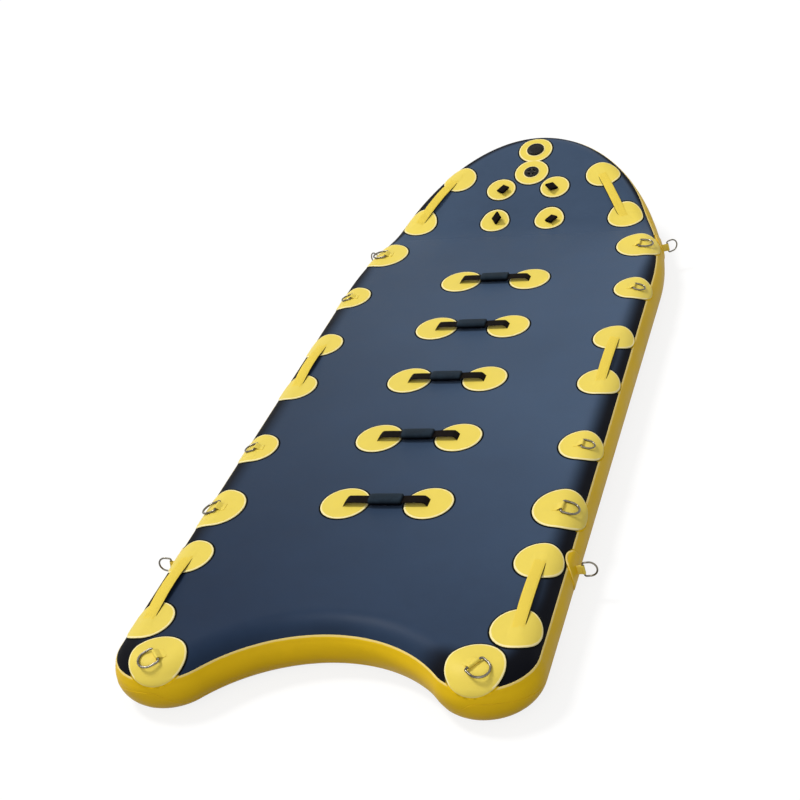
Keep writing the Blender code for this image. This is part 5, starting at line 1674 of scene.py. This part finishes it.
def tooth_ring(tooth, level):
    """A small rounded bar that lies outwards along X, repeated round the valve's middle."""
    length, width, foot, top, count, radius = tooth
    low, high = level + foot, level + top
    rings = []
    for along, share in TOOTH_SHARES:
        x = length * along
        half = width / 2 * share
        top = low + (high - low) * share
        rings.append([(x, -half, low), (x, half, low), (x, half, (low + top) / 2), (x, half * 0.6, top),
                      (x, -half * 0.6, top), (x, -half, (low + top) / 2)])
    shape = Shape()
    # The whole tooth is marked in the rail mask, which paints it lighter as a highlight
    shape.add(swept(np.array(rings)), rail=1.0)
    return grown(shape.mesh("tooth", [finish("valve_plastic")]), "ring_of_teeth",
                 {"Count": count, "Radius": radius, "Material": finish("valve_plastic")})


def add_turned(name, matrix, profiles, node, body="board", teeth=()):
    """A moulded piece of turned profiles, with a ring of teeth or dots at each given level."""
    shape = Shape()
    for profile in profiles:
        shape.add(turned(profile, matrix))
    for tooth, level in teeth:
        made = tooth_ring(tooth, level)
        made.transform(matrix)
        shape.add_mesh(made)
    add_shape(name, shape, ["valve_plastic"], [node], body, sharp=35)


def add_spring(name, node, radius, low, high, matrix):
    """A spring's coil between two heights, with a mesh of its own."""
    shape = Shape()
    shape.add(coil(radius, low, high, matrix))
    piece = add_shape(name, shape, ["spring_steel"], [node], sharp=60)
    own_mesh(piece)


def build_inflation_valve():
    """The threaded housing, the screw cap with its teeth, the plunger and its spring."""
    v, matrix, flange_low, floor, seat_top = valve_start("inflation")
    flange_top = flange_low + FLANGE_HEIGHT
    body = outside_of(v, flange_low, floor, INFLATION_LIP, flange_top)
    body += shifted(CAP_RECESS, CAP_RADIUS, flange_top) + shifted(BORE_LIP, v["bore"], flange_top)
    for level in THREAD_LEVELS:
        body += shifted(THREAD, v["bore"], flange_top + level)
    body += [(v["bore"], seat_top), (v["seat"], seat_top)]
    add_turned("inflation_valve_housing", matrix, [body], "inflation_valve_body")
    cap_low = flange_top + GAP
    plug = v["bore"] * math.cos(math.pi / CAD_SIDES) - GAP
    plug_low = cap_low - CAP_PLUG
    top = cap_low + CAP_HEIGHT
    cap = [(0, plug_low), *shifted(FLANGE_FOOT, plug, plug_low), (plug, cap_low)]
    cap += shifted(CAP_RIM, CAP_RADIUS, cap_low) + shifted(CAP_FACE, 0.0, top)
    add_turned("inflation_valve_screw_cap", matrix, [cap], "inflation_valve_cap", "inflation_valve_cap",
               [(CAP_GRIP_TEETH, cap_low), (CAP_FACE_BARS, top)])
    head_top = plug_low - CAP_TO_PLUNGER
    head_low = head_top - PLUNGER_HEAD_DEPTH
    seal_top = floor - GAP
    seal_low = seal_top - DISC_THICKNESS
    seal = v["seat"] + SEAL_LAP
    plunger = [(0, seal_low), *shifted(SEAL_FOOT, seal, seal_low), (seal, seal_top)]
    plunger += [(PLUNGER_STEM, seal_top), (PLUNGER_STEM, head_low), (PLUNGER_HEAD, head_low)]
    plunger += [*shifted(SEAL_HEAD, PLUNGER_HEAD, head_top), (0, head_top)]
    add_turned("inflation_valve_stem", matrix, [plunger], "inflation_valve_plunger", "inflation_valve_plunger")
    clear = GAP + SPRING_WIRE
    add_spring("inflation_valve_coil", "inflation_valve_spring", INFLATION_SPRING_RADIUS,
               seat_top + clear, head_low - clear, matrix)


def build_relief_valve():
    """The housing with its spoked window, the disc that lifts and its spring."""
    v, matrix, flange_low, floor, seat_top = valve_start("relief")
    top = flange_low + RELIEF_COVER
    body = outside_of(v, flange_low, floor, RELIEF_LIP, top)
    body += [*shifted(RELIEF_BORE_LIP, v["bore"], top), (v["bore"], seat_top), (v["seat"], seat_top)]
    hub = shifted(HUB_FOOT, 0.0, flange_low) + shifted(HUB_FACE, 0.0, top)
    add_turned("relief_valve_housing", matrix, [body, hub], "relief_valve_body",
               teeth=[(RELIEF_SPOKES, top), (RELIEF_DOTS, top), (HUB_DOTS, top)])
    disc_low = seat_top + GAP
    disc_top = disc_low + DISC_THICKNESS
    guide = disc_top + RELIEF_GUIDE
    seal = v["seat"] + SEAL_LAP
    plate = [(0, disc_low), (seal, disc_low), *shifted(SEAL_HEAD, seal, disc_top)]
    plate += [(PLUNGER_STEM, disc_top), *shifted(GUIDE_HEAD, PLUNGER_STEM, guide), (0, guide)]
    add_turned("relief_valve_plate", matrix, [plate], "relief_valve_disc", "relief_valve_disc")
    clear = GAP + SPRING_WIRE
    add_spring("relief_valve_coil", "relief_valve_spring", RELIEF_SPRING_RADIUS,
               disc_top + clear, flange_low - clear, matrix)


# Stage

def seen_rays(w):
    """1 for rays from the camera, off polished surfaces and through clear ones, 0 for light on the object."""
    path = w.add("ShaderNodeLightPath").outputs
    seen = w.maths("MAXIMUM", path["Is Camera Ray"], path["Is Glossy Ray"])
    return w.maths("MAXIMUM", seen, path["Is Transmission Ray"])


def build_floor():
    """A pale floor that takes the object's shadow and is near white where it is seen."""
    tones = studio()
    mesh = bpy.data.meshes.new("studio_floor")
    corners = [(x * FLOOR_HALF, y * FLOOR_HALF, FLOOR_LEVEL) for x, y in ((-1, -1), (1, -1), (1, 1), (-1, 1))]
    mesh.from_pydata(corners, [], [(0, 1, 2, 3)])
    material, w, shader = start_finish("studio_floor", Roughness=1.0, Specular_IOR_Level=0.0,
                                       Emission_Color=WHITE)
    seen = seen_rays(w)
    grain = w.noise(object_place(w), 3.0, 2.0)
    pale = w.blend(w.spread(grain, 0.0, 0.02), rgba((tones.floor_seen,) * 3), rgba((0.5,) * 3))
    w.put(shader.inputs["Base Color"], w.blend(seen, rgba((tones.floor_bounce,) * 3), pale))
    w.put(shader.inputs["Emission Strength"], w.maths("MULTIPLY", seen, tones.floor_glow))
    mesh.materials.append(material)
    floor = put_in_scene("studio_floor", mesh)


def build_world():
    """Soft light from all round, and white where the world itself is seen."""
    world = bpy.data.worlds.new("studio_air")
    bpy.context.scene.world = world
    world.use_nodes = True
    w = Wiring(world.node_tree)
    background = world.node_tree.nodes["Background"]
    background.inputs["Color"].default_value = WHITE
    soft = studio().sky_strength
    w.put(background.inputs["Strength"], w.maths("MULTIPLY_ADD", seen_rays(w), 1.0 - soft, soft))


def add_sun(name, toward, strength, spread):
    """A soft lamp far away, as strong as its share of plain white."""
    lamp = bpy.data.lights.new(name, "SUN")
    lamp.energy = strength * math.pi
    lamp.angle = math.radians(spread)
    lamp.color = LAMP_COLOUR
    sun = put_in_scene(name, lamp)
    sun.rotation_mode = "QUATERNION"
    sun.rotation_quaternion = Vector(toward).to_track_quat("Z", "Y")


def build_camera():
    """The photograph's camera."""
    yaw, pitch, roll = CAMERA_YAW, CAMERA_PITCH, CAMERA_ROLL
    back = Vector((math.sin(yaw) * math.cos(pitch), -math.cos(yaw) * math.cos(pitch), math.sin(pitch)))
    right = (-back).cross(Vector((0, 0, 1))).normalized()
    up = right.cross(-back)
    x_axis = math.cos(roll) * right + math.sin(roll) * up
    y_axis = -math.sin(roll) * right + math.cos(roll) * up
    data = bpy.data.cameras.new("photo_camera")
    data.lens = CAMERA_LENS
    data.sensor_width = CAMERA_SENSOR
    data.clip_end = CAMERA_REACH
    camera = put_in_scene("photo_camera", data)
    spot = Vector(CAMERA_AIM) - Vector((0, Y_MID, 0)) + back * CAMERA_DISTANCE
    camera.matrix_world = frame_of(x_axis, y_axis, back, spot)
    bpy.context.scene.camera = camera


# Settings that a user would change

def length(label, text, value, low, high):
    return FloatProperty(name=label, description=text, default=value, min=low, max=high, unit="LENGTH",
                         subtype="DISTANCE", precision=5)


def colour(label, text, value):
    return FloatVectorProperty(name=label, description=text, default=value, size=3, min=0.0, max=1.0,
                               subtype="COLOR")


def level(label, text, value, high=2.0):
    return FloatProperty(name=label, description=text, default=value, min=0.0, max=high)


def whole(label, text, value, low, high):
    return IntProperty(name=label, description=text, default=value, min=low, max=high)


class SledSizes(bpy.types.PropertyGroup):
    """Sizes of the fabric's and webbing's detail"""
    patch_bevel: length("Patch bevel", "Width of a patch's bevelled edge", 0.0030, 0.0005, 0.01)
    patch_sides: whole("Patch sides", "Corners round a patch", 72, 24, 160)
    rim_width: length("Pale rim", "Width of the pale line along a cut edge", 0.0062, 0.0005, 0.02)
    hem_rim: length("Pale hem", "Width of the pale line along the sidewall's hem", 0.0058, 0.0005, 0.02)
    glue_width: length("Adhesive line", "Width of adhesive that shows round a patch", 0.0048, 0.0003, 0.01)
    lap_height: length("Hem height", "How far the sidewall's hem stands off the deck", 0.0012, 0.0002, 0.004)
    strap_ramp: length("Strap ramp", "Length over which a centre strap comes up off its patch", 0.014, 0.005, 0.06)
    strap_arch: length("Strap arch", "How far a centre strap arches above its grip", 0.0008, 0.0, 0.01)
    grip_level: length("Grip level", "Height of the grips' middle over the deck", 0.0140, 0.012, 0.03)
    side_rise: length("Side band rise", "Height of a side handle's band over the rail", 0.0100, 0.006, 0.02)
    side_ramp: level("Side band ramp", "Share of its length over which a side band comes up", 0.44, 0.5)
    slit_length: length("Slit length", "Length of the cut where a strap comes up", 0.043, 0.03, 0.06)
    slit_width: length("Slit width", "Width of that cut", 0.0030, 0.0005, 0.006)
    stitch_pitch: length("Stitch pitch", "Distance from stitch to stitch", 0.0042, 0.002, 0.01)
    stitch_length: length("Stitch length", "Length of one stitch", 0.0034, 0.001, 0.01)
    thread_radius: length("Thread radius", "Radius of the sewing thread", 0.00045, 0.0001, 0.002)
    rib_pitch: length("Rib pitch", "Distance between the grip's ribs", 0.0046, 0.002, 0.02)
    rib_count: whole("Ribs", "Ribs on each grip", 15, 1, 40)
    # Painted shade: how much darker the wall is painted towards its foot
    wall_shade_depth: level("Wall soil", "How much darker the wall grows towards its foot", 0.75, 1.0)
    core_pitch: length("Yarn pitch", "Distance between the drop-stitch yarns", 0.026, 0.008, 0.2)


class SledColours(bpy.types.PropertyGroup):
    """Colours of the sled's finishes"""
    deck: colour("Deck", "Deck and bottom fabric", (0.046, 0.076, 0.132))
    # Painted shade on the deck: darker towards the tail's left corner, and near black where it rolls over the rail
    deck_tail_shade: colour("Deck at the tail", "Deck fabric towards the tail's left corner", (0.0165, 0.0315, 0.066))
    deck_rail_shade: colour("Deck rail", "Deck fabric where it rolls over the rail", (0.003, 0.0035, 0.006))
    sidewall: colour("Sidewall", "Yellow sidewall band", (0.840, 0.540, 0.009))
    patch: colour("Patches", "Yellow patches", (0.830, 0.655, 0.105))
    # Painted shade: the darker yellow of the wall's foot and of the line above its tape
    shaded_yellow: colour("Soil", "Yellow fabric where dirt gathers", (0.420, 0.235, 0.006))
    cut_edge: colour("Cut edge", "Pale edge of the yellow fabric", (0.960, 0.830, 0.400))
    band: colour("Side bands", "Yellow webbing of the side handles", (0.830, 0.630, 0.090))
    webbing: colour("Webbing", "Black webbing", (0.008, 0.006, 0.005))
    thread: colour("Thread", "Sewing thread", (0.018, 0.016, 0.015))
    yarn: colour("Yarn", "Drop-stitch yarn", (0.720, 0.700, 0.640))
    adhesive: colour("Adhesive", "Adhesive line round the patches", (0.004, 0.005, 0.003))
    # Painted shadow: inside the slits and in the strip along each side band
    slit: colour("Slit", "Inside of the slits", (0.022, 0.014, 0.004))
    # Painted light and shade on the grips: near black underneath, and lighter on top as sheen
    rubber: colour("Grips", "Rubber grips", (0.0015, 0.002, 0.004))
    rubber_painted_sheen: colour("Grips on top", "Dusty upper side of the rubber grips", (0.014, 0.024, 0.036))
    # Painted highlight: the valves' raised teeth, dots and spokes lighter than the rest
    valve: colour("Valves", "Valve plastic", (0.021, 0.021, 0.021))
    valve_painted_highlight: colour("Valves on top", "Dusty raised parts of the valves", (0.095, 0.090, 0.075))
    steel: colour("Steel", "Stainless rings", (0.165, 0.150, 0.120))


class SledStudio(bpy.types.PropertyGroup):
    """Light and floor of the studio"""
    key: level("Key", "Light on a surface that faces the key lamp, as a share of plain white", 0.62)
    fill: level("Fill", "Light on a surface that faces the fill lamp", 0.28)
    sky_strength: level("Air", "Light from all round", 0.36)
    floor_seen: level("Floor tone", "Tone of the floor where it is seen", 0.19, 1.0)
    floor_glow: level("Floor glow", "White added to the floor where it is seen", 0.83)
    floor_bounce: level("Floor bounce", "Tone of the floor as it lights the object", 0.30, 1.0)


class BuildStep(bpy.types.Operator):
    """A build step"""
    bl_options = {"REGISTER", "UNDO"}
    steps = ()

    def execute(self, context):
        for step in self.steps:
            step()
        return {"FINISHED"}


class SLED_OT_board(BuildStep):
    """Makes the deck and bottom fabric, the sidewall band and the drop-stitch core"""
    bl_idname = "sled.board"
    bl_label = "Board"
    steps = (build_deck, build_bottom, build_sidewall, build_core)


class SLED_OT_ring_patches(BuildStep):
    """Makes the round patches with the sleeves that hold the rings"""
    bl_idname = "sled.ring_patches"
    bl_label = "Ring patches"
    steps = (build_deck_ring_patches, build_side_ring_patches)


class SLED_OT_rings(BuildStep):
    """Makes the D-rings"""
    bl_idname = "sled.rings"
    bl_label = "Rings"
    steps = (build_rings,)


class SLED_OT_centre_handles(BuildStep):
    """Makes the centre handles and their grips"""
    bl_idname = "sled.centre_handles"
    bl_label = "Centre handles"
    steps = (build_centre_handles, build_grips)


class SLED_OT_side_handles(BuildStep):
    """Makes the yellow side handles"""
    bl_idname = "sled.side_handles"
    bl_label = "Side handles"
    steps = (build_side_handles,)


class SLED_OT_nose_loops(BuildStep):
    """Makes the webbing loops on the nose and their pads"""
    bl_idname = "sled.nose_loops"
    bl_label = "Nose loops"
    steps = (build_nose_loops,)


class SLED_OT_valves(BuildStep):
    """Makes the valve pads, the inflation valve and the relief valve"""
    bl_idname = "sled.valves"
    bl_label = "Valves"
    steps = (build_valve_pads, build_inflation_valve, build_relief_valve)


class SLED_OT_stage(bpy.types.Operator):
    """Makes the floor, the light and the camera"""
    bl_idname = "sled.stage"
    bl_label = "Studio"
    bl_options = {"REGISTER", "UNDO"}

    def execute(self, context):
        build_floor()
        build_world()
        add_sun("key_lamp", KEY_FROM, studio().key, KEY_SPREAD)
        add_sun("fill_lamp", FILL_FROM, studio().fill, FILL_SPREAD)
        build_camera()
        context.scene.view_settings.view_transform = "Standard"
        return {"FINISHED"}


class SLED_PT_panel(bpy.types.Panel):
    """Buttons for each group of pieces, and their settings"""
    bl_idname = "SLED_PT_panel"
    bl_label = "Rescue sled"
    bl_space_type = "VIEW_3D"
    bl_region_type = "UI"
    bl_category = "Sled"

    def draw(self, context):
        column = self.layout.column()
        for operator in OPERATORS:
            column.operator(operator.bl_idname)
        for name, group in SETTINGS.items():
            for label in group.__annotations__:
                column.prop(getattr(context.scene, name), label)


SETTINGS = {"sled_sizes": SledSizes, "sled_colours": SledColours, "sled_studio": SledStudio}
OPERATORS = (SLED_OT_board, SLED_OT_ring_patches, SLED_OT_rings, SLED_OT_centre_handles, SLED_OT_side_handles,
             SLED_OT_nose_loops, SLED_OT_valves, SLED_OT_stage)
CLASSES = (*SETTINGS.values(), *OPERATORS, SLED_PT_panel)


def register():
    for made in CLASSES:
        bpy.utils.register_class(made)
    for name, group in SETTINGS.items():
        setattr(bpy.types.Scene, name, PointerProperty(type=group))


def unregister():
    for name in SETTINGS:
        delattr(bpy.types.Scene, name)
    for made in reversed(CLASSES):
        bpy.utils.unregister_class(made)


def main():
    register()
    bpy.ops.sled.board()
    bpy.ops.sled.ring_patches()
    bpy.ops.sled.rings()
    bpy.ops.sled.centre_handles()
    bpy.ops.sled.side_handles()
    bpy.ops.sled.nose_loops()
    bpy.ops.sled.valves()
    bpy.ops.sled.stage()


if __name__ == "__main__":
    main()
